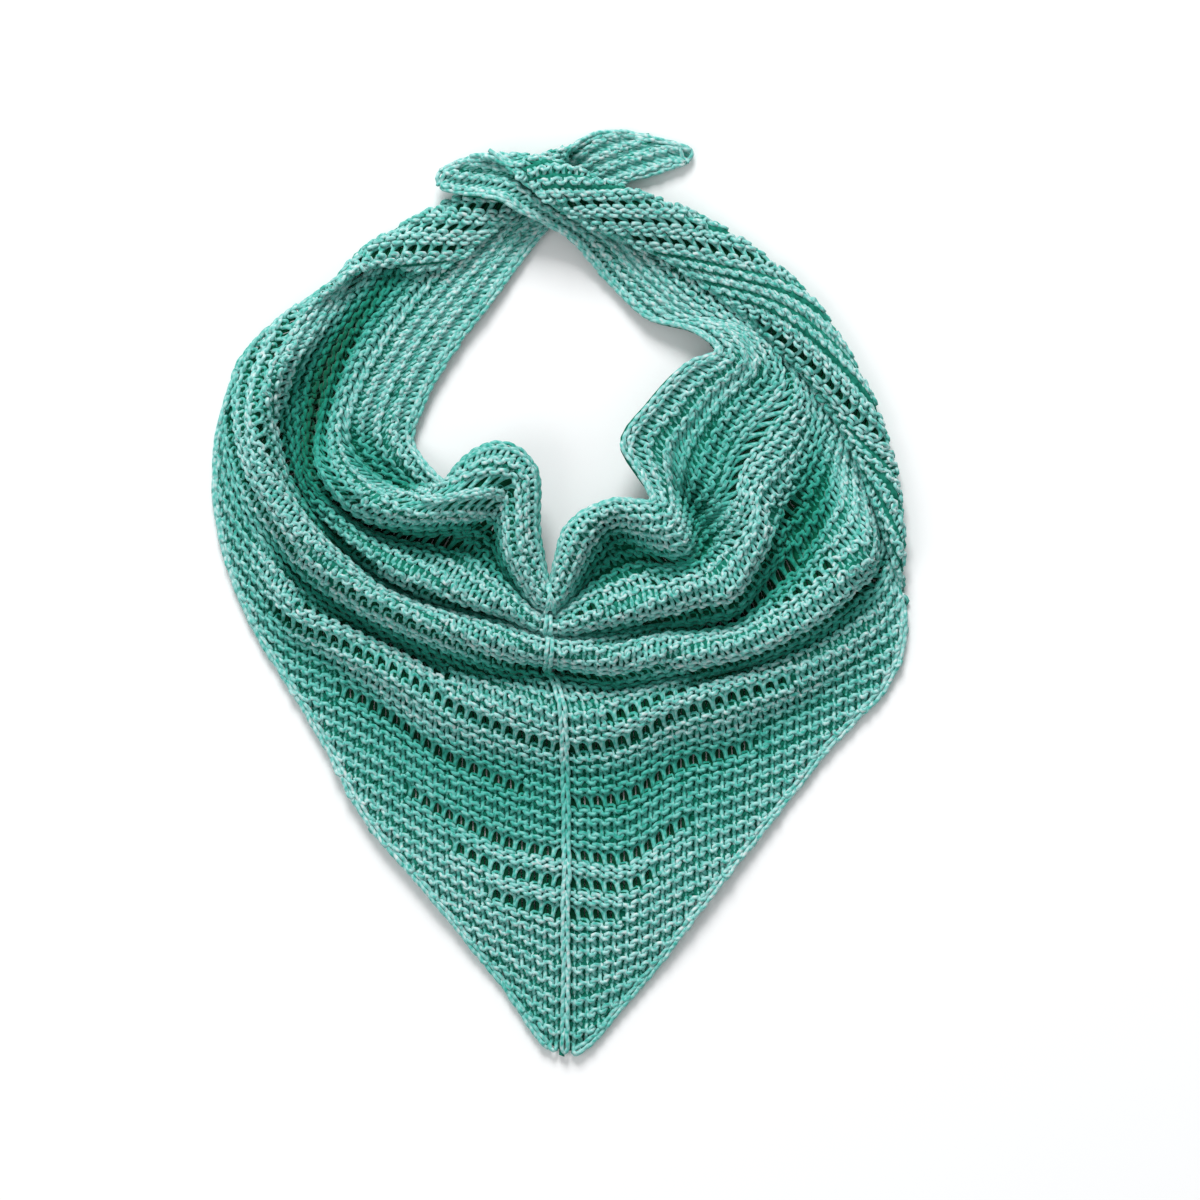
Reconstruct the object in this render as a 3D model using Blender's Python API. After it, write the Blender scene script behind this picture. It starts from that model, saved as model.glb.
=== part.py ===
"""A hand-knitted triangular shawl, laid flat in the ring in which it is worn.

The cloth is one surface. A row of SECTIONS for each place along the neck edge, from the left tip over
the centre spine to the right tip, says how the cloth runs there from the neck edge to the cast-off
edge: where it rises over each fold, where it lies on the table, and on the arms where it turns over and
comes back on top. The wall follows that surface at an even thickness, and the eyelets of the open rows
are cut through it.
"""

import math
from collections import namedtuple

import bmesh
import bpy
import numpy as np

MM = 0.001

# Driving sizes, in millimetres. The sections below are read in pixels of the photograph.
PHOTO_PIXEL = 0.5
PHOTO_CENTRE = (560.0, 594.0)
WALL = 2.0
BORDER_SEAM_GAP = 0.9  # likewise
SPINE_WIDTH = 5.6
NOTCH_SEAM_GAP = 2.6  # between the spine and the borders, where the neck edge turns sharply
SPINE_SEAM_GAP = 0.7  # along the flat cloth, because the folds at the neck close it to 0.3
SPINE_RISE = 0.9
BORDER_WIDTH = 5.0
BORDER_THICKNESS = 3.4
BORDER_SIDES = 8
ROW_STEP = 7.0
EYELET_WIDTH = 4.3
EYELET_LENGTH = 4.5
TABLE_LEVEL = 5.0  # a section point at or under this height, in pixels, lies on the table

# Shares of the neck edge, from 0 at the spine to 1 at a tip.
COLUMNS_PER_HALF = 48
NECK_RATE = 320.0  # millimetres of cloth beside the spine for a share of 1
ARMS_START_AT = (-0.60, 0.50)  # from these shares outward the cloth turns over at its outer side

Section = namedtuple(
    "Section",
    "share neck border ruffle_top ruffle_side recess ridge_a valley_a"
    " ridge_b valley_b ridge_c panel_top panel_middle edge",
)

# One row for each section. share is the place along the neck edge, negative to the left. Each fold
# line's point is (pixels right, pixels down, height in pixels).
SECTIONS = (
    Section(-1.00,
            (684, 165, 4), (686, 164, 4), (688, 162, 4), (690, 160, 4), (691, 158, 4),
            (692, 156, 4), (692, 155, 4), (692, 153, 4), (691, 151, 4), (690, 150, 4),
            (689, 149, 4), (688, 148, 4), (686, 147, 4)),
    Section(-0.95,
            (650, 175, 5), (649, 172, 6), (648, 169, 7), (647, 166, 8), (646, 162, 8),
            (645, 159, 8), (643, 155, 8), (642, 151, 8), (641, 148, 7), (640, 145, 7),
            (639, 142, 6), (638, 138, 5), (637, 135, 5)),
    Section(-0.90,
            (612, 190, 5), (610, 187, 5), (608, 183, 5), (606, 179, 5), (604, 174, 5),
            (602, 169, 5), (600, 164, 5), (598, 159, 5), (596, 154, 5), (595, 150, 5),
            (594, 146, 5), (593, 142, 5), (592, 137, 5)),
    Section(-0.88,
            (601, 197, 5), (592, 190, 5), (584, 183, 5), (577, 176, 5), (572, 170, 5),
            (568, 164, 6), (566, 159, 8), (565, 156, 11), (565, 153, 14), (566, 151, 16),
            (567, 150, 18), (568, 149, 20), (569, 149, 22)),
    Section(-0.86,
            (590, 204, 5), (574, 197, 5), (560, 189, 5), (550, 182, 5), (543, 176, 5),
            (538, 170, 6), (536, 164, 9), (539, 159, 12), (545, 158, 15), (550, 161, 15),
            (554, 165, 14), (558, 169, 14), (561, 173, 13)),
    Section(-0.82,
            (562, 218, 5), (543, 212, 5), (523, 205, 5), (503, 199, 5), (485, 196, 5),
            (468, 197, 5), (455, 200, 6), (444, 206, 8), (437, 215, 14), (441, 226, 21),
            (448, 237, 23), (457, 247, 21), (468, 254, 18)),
    Section(-0.74,
            (528, 252, 5), (502, 249, 6), (477, 246, 6), (454, 245, 5), (432, 244, 5),
            (412, 244, 5), (393, 246, 5), (378, 248, 5), (366, 252, 7), (358, 258, 14),
            (362, 264, 21), (371, 266, 22), (382, 262, 18)),
    Section(-0.70,
            (512, 275, 6), (484, 268, 8), (456, 264, 8), (430, 264, 7), (408, 266, 6),
            (390, 268, 6), (371, 273, 7), (354, 278, 8), (342, 284, 12), (335, 287, 18),
            (336, 285, 25), (342, 281, 29), (350, 277, 28)),
    Section(-0.66,
            (495, 298, 8), (465, 290, 10), (435, 285, 10), (408, 286, 9), (385, 291, 9),
            (365, 298, 9), (346, 305, 12), (329, 311, 17), (314, 315, 23), (301, 317, 26),
            (291, 319, 25), (283, 322, 20), (276, 326, 14)),
    Section(-0.58,
            (450, 358, 8), (420, 352, 11), (385, 350, 12), (357, 352, 11), (338, 357, 7),
            (322, 364, 5), (304, 376, 5), (276, 378, 38), (260, 380, 34), (248, 385, 24),
            (238, 391, 12), (229, 400, 6), (223, 412, 4)),
    Section(-0.50,
            (421, 412, 8), (392, 408, 12), (354, 414, 12), (330, 424, 12), (316, 430, 9),
            (305, 433, 6), (291, 436, 5), (262, 440, 40), (246, 450, 28), (237, 463, 15),
            (229, 480, 8), (222, 498, 5), (217, 514, 4)),
    Section(-0.42,
            (416, 452, 8), (396, 450, 12), (362, 457, 8), (338, 472, 34), (322, 485, 22),
            (312, 492, 15), (299, 495, 10), (282, 500, 42), (263, 520, 24), (256, 540, 16),
            (251, 570, 9), (248, 592, 6), (247, 612, 5)),
    Section(-0.36,
            (452, 484, 24), (432, 488, 18), (402, 487, 12), (374, 502, 44), (362, 525, 14),
            (350, 533, 28), (337, 543, 14), (321, 555, 44), (305, 585, 12), (297, 605, 24),
            (291, 638, 9), (288, 660, 6), (286, 680, 6)),
    Section(-0.32,
            (458, 470, 40), (448, 484, 48), (430, 496, 54), (408, 513, 50), (402, 538, 16),
            (379, 555, 36), (367, 571, 16), (357, 585, 44), (348, 615, 12), (338, 632, 26),
            (330, 664, 9), (322, 695, 6), (314, 725, 7)),
    Section(-0.24,
            (497, 444, 52), (490, 462, 58), (478, 486, 60), (462, 508, 56), (450, 539, 18),
            (424, 577, 40), (416, 598, 18), (408, 612, 44), (400, 642, 12), (392, 664, 26),
            (384, 712, 8), (375, 768, 6), (365, 818, 9)),
    Section(-0.16,
            (534, 468, 46), (525, 474, 54), (513, 486, 50), (502, 508, 38), (488, 545, 18),
            (462, 590, 40), (458, 610, 20), (454, 627, 44), (449, 660, 14), (445, 692, 24),
            (440, 765, 6), (437, 842, 8), (434, 899, 10)),
    Section(-0.08,
            (538, 536, 36), (529, 541, 46), (520, 548, 52), (513, 557, 40), (508, 578, 20),
            (506, 604, 40), (504, 620, 22), (502, 640, 42), (500, 672, 14), (500, 704, 24),
            (500, 790, 5), (499, 885, 12), (498, 978, 6)),
    Section(0.00,
            (551, 587, 32), (551, 594, 38), (551, 601, 39), (550, 608, 33), (549, 615, 27),
            (549, 625, 35), (549, 637, 26), (550, 650, 36), (549, 672, 12), (562, 712, 22),
            (566, 800, 4), (566, 888, 10), (565, 1055, 4)),
    Section(0.08,
            (567, 530, 48), (575, 533, 56), (584, 540, 50), (591, 551, 28), (597, 573, 14),
            (604, 611, 40), (608, 632, 20), (612, 655, 40), (614, 684, 14), (617, 712, 24),
            (623, 800, 5), (630, 895, 12), (638, 987, 6)),
    Section(0.16,
            (609, 503, 48), (611, 509, 50), (614, 518, 40), (618, 532, 20), (630, 562, 14),
            (650, 600, 42), (655, 625, 18), (660, 650, 40), (665, 678, 16), (670, 700, 26),
            (680, 765, 6), (690, 840, 8), (701, 908, 10)),
    Section(0.24,
            (652, 500, 50), (663, 507, 54), (672, 522, 54), (681, 542, 46), (690, 563, 30),
            (700, 588, 44), (705, 624, 16), (710, 648, 40), (717, 672, 14), (726, 690, 26),
            (740, 745, 7), (751, 790, 5), (762, 831, 7)),
    Section(0.28,
            (638, 478, 48), (660, 486, 40), (678, 498, 18), (693, 520, 10), (706, 552, 14),
            (726, 584, 44), (738, 616, 16), (748, 641, 40), (757, 662, 12), (768, 680, 24),
            (782, 720, 7), (790, 758, 5), (795, 790, 5)),
    Section(0.32,
            (621, 450, 46), (655, 455, 36), (690, 472, 26), (718, 500, 26), (738, 525, 36),
            (753, 545, 42), (772, 580, 14), (790, 620, 40), (802, 643, 12), (812, 662, 20),
            (820, 695, 7), (823, 725, 5), (824, 752, 5)),
    Section(0.40,
            (648, 403, 38), (685, 415, 30), (715, 435, 24), (738, 462, 26), (750, 482, 34),
            (762, 500, 32), (800, 540, 10), (843, 575, 36), (858, 598, 8), (868, 618, 10),
            (878, 640, 6), (886, 660, 5), (892, 676, 4)),
    Section(0.48,
            (690, 362, 32), (715, 385, 28), (742, 405, 24), (765, 425, 24), (782, 440, 24),
            (798, 455, 16), (822, 480, 8), (862, 528, 28), (878, 553, 6), (887, 566, 5),
            (894, 577, 5), (899, 586, 5), (903, 597, 6)),
    Section(0.52,
            (715, 352, 30), (742, 362, 30), (768, 378, 22), (788, 395, 22), (800, 410, 16),
            (812, 425, 8), (828, 445, 5), (853, 478, 6), (874, 504, 5), (890, 522, 7),
            (900, 537, 13), (899, 549, 21), (889, 549, 19)),
    Section(0.56,
            (697, 335, 24), (732, 338, 26), (762, 350, 18), (782, 366, 9), (797, 380, 6),
            (812, 395, 5), (832, 414, 5), (852, 435, 5), (871, 452, 5), (887, 467, 8),
            (895, 482, 15), (885, 492, 22), (868, 490, 17)),
    Section(0.64,
            (645, 318, 12), (685, 318, 14), (722, 322, 12), (752, 332, 9), (775, 342, 6),
            (796, 352, 5), (816, 362, 5), (834, 370, 5), (851, 378, 6), (866, 391, 13),
            (859, 402, 20), (842, 405, 20), (822, 400, 12)),
    Section(0.72,
            (604, 277, 8), (640, 279, 10), (672, 284, 9), (700, 288, 7), (722, 290, 5),
            (742, 290, 5), (762, 288, 5), (780, 286, 5), (794, 287, 7), (804, 295, 14),
            (795, 306, 20), (776, 315, 20), (752, 326, 14)),
    Section(0.80,
            (568, 238, 20), (595, 238, 17), (620, 238, 13), (643, 237, 9), (662, 234, 6),
            (680, 230, 5), (695, 226, 5), (708, 225, 7), (717, 229, 14), (714, 236, 19),
            (704, 246, 22), (690, 256, 21), (674, 266, 17)),
    Section(0.88,
            (522, 214, 35), (540, 208, 34), (556, 203, 32), (571, 199, 29), (584, 195, 27),
            (596, 191, 26), (606, 188, 27), (614, 188, 31), (617, 192, 36), (613, 199, 40),
            (603, 206, 41), (592, 214, 41), (580, 223, 39)),
    Section(0.94,
            (490, 201, 37), (494, 192, 34), (499, 182, 30), (503, 174, 28), (507, 168, 28),
            (511, 163, 29), (515, 160, 32), (519, 160, 36), (522, 162, 40), (524, 166, 43),
            (524, 171, 45), (523, 177, 46), (521, 183, 46)),
    Section(0.955,
            (478, 199, 30), (480, 193, 28), (482, 187, 26), (484, 181, 24), (486, 175, 23),
            (488, 169, 23), (490, 164, 24), (491, 161, 26), (492, 160, 28), (493, 159, 30),
            (493, 158, 32), (493, 158, 34), (493, 158, 36)),
    Section(0.97,
            (465, 197, 22), (465, 194, 21), (465, 191, 21), (465, 188, 20), (465, 185, 20),
            (465, 182, 20), (465, 179, 20), (465, 176, 20), (465, 173, 20), (465, 170, 20),
            (465, 167, 20), (465, 164, 20), (466, 161, 20)),
    Section(1.00,
            (442, 190, 14), (440, 188, 14), (439, 185, 14), (438, 182, 14), (438, 180, 14),
            (438, 178, 14), (439, 176, 14), (440, 174, 14), (441, 173, 14), (442, 172, 14),
            (443, 171, 14), (445, 171, 14), (446, 170, 14)),
)

# The open rows: how far from the neck edge, in row steps, and the stretch of shares where each shows.
OpenRow = namedtuple("OpenRow", "step start stop every")
OPEN_ROWS = (
    OpenRow(7, -0.46, -0.04, 1),
    OpenRow(12, -0.66, -0.26, 1),
    OpenRow(15, -0.62, -0.03, 1),
    OpenRow(18, -0.44, -0.04, 1),
    OpenRow(13, 0.04, 0.36, 1),
    OpenRow(17, 0.16, 0.60, 1),
    OpenRow(19, 0.04, 0.40, 1),
    OpenRow(24, -0.28, 0.22, 1),
    OpenRow(28, -0.20, 0.17, 1),
    OpenRow(32, -0.13, 0.12, 1),
    OpenRow(35, -0.08, 0.08, 1),
    OpenRow(10, -0.84, -0.70, 1),
    OpenRow(14, 0.62, 0.80, 1),
)


def smooth_curve(knots, values, places):
    """Values at the places, on the smooth curve that passes through the values at the knots."""
    knots = np.asarray(knots, float)
    values = np.asarray(values, float)
    spans = np.diff(knots)
    column = (-1,) + (1,) * (values.ndim - 1)
    slopes = np.diff(values, axis=0) / spans.reshape(column)
    turns = np.empty_like(values)
    turns[0], turns[-1] = slopes[0], slopes[-1]
    weight = (spans[1:] / (spans[:-1] + spans[1:])).reshape(column)
    turns[1:-1] = weight * slopes[:-1] + (1 - weight) * slopes[1:]
    index = np.clip(np.searchsorted(knots, places, side="right") - 1, 0, len(spans) - 1)
    span = spans[index].reshape(column)
    t = ((places - knots[index]) / spans[index]).reshape(column)
    start = (2 * t**3 - 3 * t**2 + 1) * values[index] + (t**3 - 2 * t**2 + t) * span * turns[index]
    stop = (3 * t**2 - 2 * t**3) * values[index + 1] + (t**3 - t**2) * span * turns[index + 1]
    return start + stop


def averaged(field, shares, width):
    """The field averaged over neighbouring sections with a bell curve of this width."""
    step = shares[1] - shares[0]
    reach = int(4 * width / step)
    bell = np.exp(-0.5 * (np.arange(-reach, reach + 1) * step / width) ** 2)
    bell /= bell.sum()
    ends = (np.repeat(field[:1], reach, 0), field, np.repeat(field[-1:], reach, 0))
    padded = np.concatenate(ends)
    return sum(part * padded[i : i + len(field)] for i, part in enumerate(bell))


def arc_lengths(points):
    """Length from the first point of each line, in the points' own unit."""
    steps = np.linalg.norm(np.diff(points, axis=1), axis=2)
    return np.concatenate([np.zeros((len(points), 1)), np.cumsum(steps, axis=1)], axis=1)


class Cloth:
    """The middle surface of the cloth, in millimetres, on a fine grid of sections and places."""

    FINE_SECTIONS = 1201
    PLACES_PER_FOLD = 50
    FOLD_LINES = len(Section._fields) - 1
    RIDGE_C = Section._fields.index("ridge_c") - 1
    ROW_AVERAGE = (0.16, 0.04)  # over the folds, and over the lower panel
    ARM_SHARES = (0.55, 0.75)  # from here to here the rows go over to the section's own lengths

    def __init__(self):
        self.shares = np.linspace(-1, 1, self.FINE_SECTIONS)
        self.places = np.linspace(0, self.FOLD_LINES - 1, (self.FOLD_LINES - 1) * self.PLACES_PER_FOLD + 1)
        knots = [section.share for section in SECTIONS]
        read = np.array([section[1:] for section in SECTIONS], float)
        along = smooth_curve(knots, read, self.shares)
        across = smooth_curve(np.arange(self.FOLD_LINES), along.transpose(1, 0, 2), self.places)
        across = across.transpose(1, 0, 2)
        self.points = np.empty_like(across)
        self.points[..., 0] = (across[..., 0] - PHOTO_CENTRE[0]) * PHOTO_PIXEL
        self.points[..., 1] = (PHOTO_CENTRE[1] - across[..., 1]) * PHOTO_PIXEL
        rise = np.maximum(across[..., 2] - TABLE_LEVEL, 0) * PHOTO_PIXEL
        self.points[..., 2] = rise + WALL / 2
        self.distances = self.row_distances()

    def row_distances(self):
        """How far each point lies from the neck edge, counted in rows, so that rows follow the folds."""
        lengths = arc_lengths(self.points)
        fold = self.RIDGE_C * self.PLACES_PER_FOLD
        over_folds = np.minimum(lengths, lengths[:, fold : fold + 1])
        below = lengths - over_folds
        wide, narrow = self.ROW_AVERAGE
        even = averaged(over_folds, self.shares, wide) + averaged(below, self.shares, narrow)
        start, stop = self.ARM_SHARES
        blend = np.clip((np.abs(self.shares) - start) / (stop - start), 0, 1)
        blend = (blend * blend * (3 - 2 * blend))[:, None]
        return blend * lengths + (1 - blend) * even

    def depth(self, share):
        """How far the cast-off edge lies from the neck edge at this share, in millimetres."""
        return float(np.interp(share, self.shares, self.distances[:, -1]))

    def place(self, share, distance):
        """The fold-line coordinate at this share and distance from the neck edge."""
        i = int(np.clip(np.searchsorted(self.shares, share) - 1, 0, len(self.shares) - 2))
        t = (share - self.shares[i]) / (self.shares[i + 1] - self.shares[i])
        line = (1 - t) * self.distances[i] + t * self.distances[i + 1]
        return float(np.interp(distance, line, self.places))

    def distance(self, share, place):
        """How far from the neck edge this fold-line coordinate lies, at this share."""
        i = int(np.clip(np.searchsorted(self.shares, share) - 1, 0, len(self.shares) - 2))
        t = (share - self.shares[i]) / (self.shares[i + 1] - self.shares[i])
        return float(np.interp(place, self.places, (1 - t) * self.distances[i] + t * self.distances[i + 1]))

    def point(self, share, place):
        """The point of the middle surface at this share and fold-line coordinate."""
        i = (share + 1) / 2 * (len(self.shares) - 1)
        j = place * self.PLACES_PER_FOLD
        i0 = int(np.clip(i, 0, len(self.shares) - 2))
        j0 = int(np.clip(j, 0, len(self.places) - 2))
        s, t = i - i0, j - j0
        grid = self.points
        near = (1 - t) * grid[i0, j0] + t * grid[i0, j0 + 1]
        far = (1 - t) * grid[i0 + 1, j0] + t * grid[i0 + 1, j0 + 1]
        return (1 - s) * near + s * far

    def at(self, share, distance):
        """The point and the unit normal, up on a flat stretch, at this share and distance."""
        place = self.place(share, distance)
        reach_share, reach_place = 0.012, 0.22
        along = self.point(min(share + reach_share, 1), place) - self.point(max(share - reach_share, -1), place)
        last = self.FOLD_LINES - 1
        across = self.point(share, min(place + reach_place, last)) - self.point(share, max(place - reach_place, 0))
        normal = np.cross(across, along)
        return self.point(share, place), normal / np.linalg.norm(normal)


def fabric(name, colour):
    """A matt knitted finish in this colour."""
    material = bpy.data.materials.new(name)
    material.use_nodes = True
    shader = material.node_tree.nodes["Principled BSDF"]
    shader.inputs["Base Color"].default_value = (*colour, 1)
    shader.inputs["Roughness"].default_value = 0.9
    shader.inputs["Metallic"].default_value = 0
    material.diffuse_color = (*colour, 1)
    return material


def solid(name, points, faces, colour, centre):
    """One closed piece from its corner points, in millimetres, and its faces."""
    mesh = bpy.data.meshes.new(name)
    places = [tuple((point - centre) * MM) for point in points]
    mesh.from_pydata(places, [], faces)
    shape = bmesh.new()
    shape.from_mesh(mesh)
    bmesh.ops.recalc_face_normals(shape, faces=shape.faces)
    shape.to_mesh(mesh)
    shape.free()
    mesh.shade_smooth()
    mesh.materials.append(fabric(name + "_knit", colour))
    piece = bpy.data.objects.new(name, mesh)
    bpy.context.collection.objects.link(piece)
    return piece


def is_open(column_start, column_stop, step):
    """Whether the cell between these shares, on this row step, holds an eyelet."""
    middle = (column_start + column_stop) / 2
    return any(row.step == step and row.start < middle < row.stop for row in OPEN_ROWS)


# One section's corners, from the neck border to the cast-off edge. A level is a row step, or on an arm a
# fold line, and two levels that are equal in neighbouring columns face each other.
Column = namedtuple("Column", "share on_arm levels distances corners")
NEAR_LEVEL, EDGE_LEVEL = -1, 1000
ARM_FOLD_LEVELS = (1, 2, 3, 4, 5, 6, 6.5, 7, 7.5, 8, 8.5, 9, 9.5, 10, 11)  # closer where the cloth turns over


class Wall:
    """The two faces of a cloth wall, grown column by column from the neck to the cast-off edge."""

    def __init__(self, cloth):
        self.cloth = cloth
        self.points = []
        self.faces = []

    def add(self, point, normal):
        """Two corners, one on each face of the wall. Gives the number of the upper one."""
        self.points.append(point + normal * WALL / 2)
        self.points.append(point - normal * WALL / 2)
        return len(self.points) - 2

    def column(self, share, start):
        """The corners along one section, from this distance to the cast-off edge."""
        depth = self.cloth.depth(share)
        on_arm = not ARMS_START_AT[0] < share < ARMS_START_AT[1]
        if on_arm:
            near_place = self.cloth.place(share, start)
            folds = [fold for fold in ARM_FOLD_LEVELS if fold > near_place + 0.4]
            distances = {fold: self.cloth.distance(share, fold) for fold in folds}
        else:
            last = int((depth - ROW_STEP / 3) // ROW_STEP)
            distances = {step: step * ROW_STEP for step in range(int(start // ROW_STEP) + 1, last + 1)}
        levels = [NEAR_LEVEL, *distances, EDGE_LEVEL]
        distances = [start, *distances.values(), depth]
        corners = [self.add(*self.cloth.at(share, distance)) for distance in distances]
        return Column(share, on_arm, levels, distances, corners)

    def cell(self, corners):
        """One four-sided cell of both faces."""
        self.faces.append(tuple(corners))
        self.faces.append(tuple(corner + 1 for corner in reversed(corners)))

    def eyelet_cell(self, corners):
        """One cell with an eyelet cut through its middle."""
        upper = [self.points[corner] for corner in corners]
        lower = [self.points[corner + 1] for corner in corners]
        width = np.linalg.norm((upper[0] + upper[3] - upper[1] - upper[2]) / 2)
        length = np.linalg.norm((upper[0] + upper[1] - upper[2] - upper[3]) / 2)
        across = min(EYELET_WIDTH / width, 0.7) / 2
        down = min(EYELET_LENGTH / length, 0.7) / 2
        ring = []
        for u, v in ((0.5 - across, 0.5 - down), (0.5 + across, 0.5 - down),
                     (0.5 + across, 0.5 + down), (0.5 - across, 0.5 + down)):
            weights = ((1 - u) * (1 - v), u * (1 - v), u * v, (1 - u) * v)
            self.points.append(sum(w * p for w, p in zip(weights, upper)))
            self.points.append(sum(w * p for w, p in zip(weights, lower)))
            ring.append(len(self.points) - 2)
        for a in range(4):
            b = (a + 1) % 4
            self.cell((corners[a], corners[b], ring[b], ring[a]))
            self.faces.append((ring[a], ring[b], ring[b] + 1, ring[a] + 1))

    def rim(self, line):
        """The narrow side that joins both faces along this line of corners."""
        for a, b in zip(line, line[1:]):
            self.faces.append((a, a + 1, b + 1, b))

    def strip(self, left, right):
        """The cells between two neighbouring columns: four-sided where their levels pair, else triangles."""
        pairs = left.on_arm == right.on_arm
        a = b = 0
        while a + 1 < len(left.levels) or b + 1 < len(right.levels):
            left_done, right_done = a + 1 == len(left.levels), b + 1 == len(right.levels)
            if pairs and not left_done and not right_done and left.levels[a + 1] == right.levels[b + 1]:
                corners = (left.corners[a], right.corners[b], right.corners[b + 1], left.corners[a + 1])
                if not left.on_arm and is_open(left.share, right.share, left.levels[a]):
                    self.eyelet_cell(corners)
                else:
                    self.cell(corners)
                a, b = a + 1, b + 1
            elif left_done or (not right_done and right.distances[b + 1] < left.distances[a + 1]):
                self.cell((left.corners[a], right.corners[b], right.corners[b + 1]))
                b += 1
            else:
                self.cell((left.corners[a], right.corners[b], left.corners[a + 1]))
                a += 1


def half_panel(cloth, side):
    """One half of the shawl, from the spine to its tip. side is -1 for the left and 1 for the right."""
    first = side * (SPINE_WIDTH / 2 + SPINE_SEAM_GAP) / NECK_RATE
    shares = [first] + [side * i / COLUMNS_PER_HALF for i in range(1, COLUMNS_PER_HALF + 1)]
    wall = Wall(cloth)
    start = BORDER_WIDTH + BORDER_SEAM_GAP
    columns = [wall.column(share, start) for share in shares]
    for left, right in zip(columns, columns[1:]):
        wall.strip(left, right)
    wall.rim([column.corners[0] for column in columns])
    wall.rim([column.corners[-1] for column in columns])
    wall.rim(columns[0].corners)
    wall.rim(columns[-1].corners)
    return wall.points, wall.faces


def loft(rings):
    """A closed solid through rings of equal count, with a flat cap at each end."""
    count = len(rings[0])
    points = [point for ring in rings for point in ring]
    faces = []
    for i in range(len(rings) - 1):
        for j in range(count):
            k = (j + 1) % count
            faces.append((i * count + j, i * count + k, (i + 1) * count + k, (i + 1) * count + j))
    faces.append(tuple(range(count)))
    faces.append(tuple(range((len(rings) - 1) * count, len(rings) * count)))
    return points, faces


def neck_border(cloth, side):
    """The rolled, bound-off neck edge of one half, a round-backed band along the edge."""
    first = side * (SPINE_WIDTH / 2 + NOTCH_SEAM_GAP) / NECK_RATE
    shares = [first] + [side * i / COLUMNS_PER_HALF for i in range(1, COLUMNS_PER_HALF + 1)]
    rings = []
    for share in shares:
        ring = []
        for corner in range(BORDER_SIDES):
            angle = (corner + 0.5) * math.tau / BORDER_SIDES
            distance = BORDER_WIDTH / 2 * (1 + math.cos(angle))
            point, normal = cloth.at(share, distance)
            rise = BORDER_THICKNESS / 2 * math.sin(angle)
            lifted = point + normal * rise
            lifted[2] = max(lifted[2], 0)
            ring.append(lifted)
        rings.append(ring)
    return loft(rings)


def centre_spine(cloth):
    """The raised chain of stitches down the middle, from the neck edge to the lower tip."""
    half = SPINE_WIDTH / 2 / NECK_RATE
    depth = cloth.depth(0)
    steps = int(depth // ROW_STEP)
    distances = [0.0] + [step * ROW_STEP for step in range(1, steps)] + [depth]
    rings = []
    for distance in distances:
        upper = []
        lower = []
        for place in (-1, -0.4, 0.4, 1):
            point, normal = cloth.at(place * half, distance)
            crown = SPINE_RISE if abs(place) < 1 else 0
            upper.append(point + normal * (WALL / 2 + crown))
            lower.append(point - normal * WALL / 2)
        rings.append(upper + [lower[3], lower[0]])
    return loft(rings)


def main():
    """Build every piece of the shawl."""
    for item in list(bpy.data.objects):
        bpy.data.objects.remove(item)
    cloth = Cloth()
    pieces = {
        "left_half": (half_panel(cloth, -1), (0.10, 0.45, 0.36)),
        "right_half": (half_panel(cloth, 1), (0.10, 0.43, 0.35)),
        "centre_spine": (centre_spine(cloth), (0.20, 0.55, 0.45)),
        "left_neck_border": (neck_border(cloth, -1), (0.28, 0.60, 0.50)),
        "right_neck_border": (neck_border(cloth, 1), (0.28, 0.60, 0.50)),
    }
    every = np.array([point for (points, _), _ in pieces.values() for point in points])
    low, high = every.min(axis=0), every.max(axis=0)
    centre = np.array([(low[0] + high[0]) / 2, (low[1] + high[1]) / 2, low[2]])
    for name, ((points, faces), colour) in pieces.items():
        solid(name, points, faces, colour, centre)


if __name__ == "__main__":
    main()
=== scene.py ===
"""Looks of a hand-knitted triangular shawl that lies in its worn ring, with every row of yarn modelled.

The middle surface of the cloth is worked out from the same sections as its solids. Each row of knitting is
one length of yarn looped along that surface, over a thin ground, dark with painted shade, that closes the
small gaps between the loops and stays open at the eyelets. The spine, the neck edge and the cast-off edges
are chains of loops. Deep in the folds, yarn and ground get painted shade, darker and greener.
"""

import logging
import math
from dataclasses import dataclass, field
from enum import Enum
from typing import NamedTuple

import bpy
import numpy as np
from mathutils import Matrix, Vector

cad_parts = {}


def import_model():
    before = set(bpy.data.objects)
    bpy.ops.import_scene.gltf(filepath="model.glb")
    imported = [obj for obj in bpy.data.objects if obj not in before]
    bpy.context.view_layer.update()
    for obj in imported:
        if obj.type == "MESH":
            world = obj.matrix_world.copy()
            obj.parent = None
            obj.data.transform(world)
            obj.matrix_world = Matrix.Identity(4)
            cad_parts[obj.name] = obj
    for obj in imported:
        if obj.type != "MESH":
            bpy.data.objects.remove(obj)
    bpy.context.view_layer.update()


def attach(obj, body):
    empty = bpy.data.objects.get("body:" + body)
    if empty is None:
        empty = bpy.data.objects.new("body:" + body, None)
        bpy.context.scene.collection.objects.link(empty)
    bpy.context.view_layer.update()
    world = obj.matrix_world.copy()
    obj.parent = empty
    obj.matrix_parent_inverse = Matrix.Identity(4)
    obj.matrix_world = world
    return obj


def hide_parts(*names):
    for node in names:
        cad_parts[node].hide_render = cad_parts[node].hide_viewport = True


LOG = logging.getLogger("shawl")
MM = 0.001

# How the sections were read: pixels of the photograph, their size, and the pixel at the shawl's middle.
PHOTO_PIXEL_MM = 0.5
PHOTO_CENTRE = (560.0, 594.0)
FRAME_PIXELS = 1200
TABLE_LEVEL = 5.0  # a section point at or under this height, in pixels, lies on the table
WALL_MM = 2.0


ReadPoint = tuple[int, int, int]  # pixels right, pixels down, height in pixels


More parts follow.
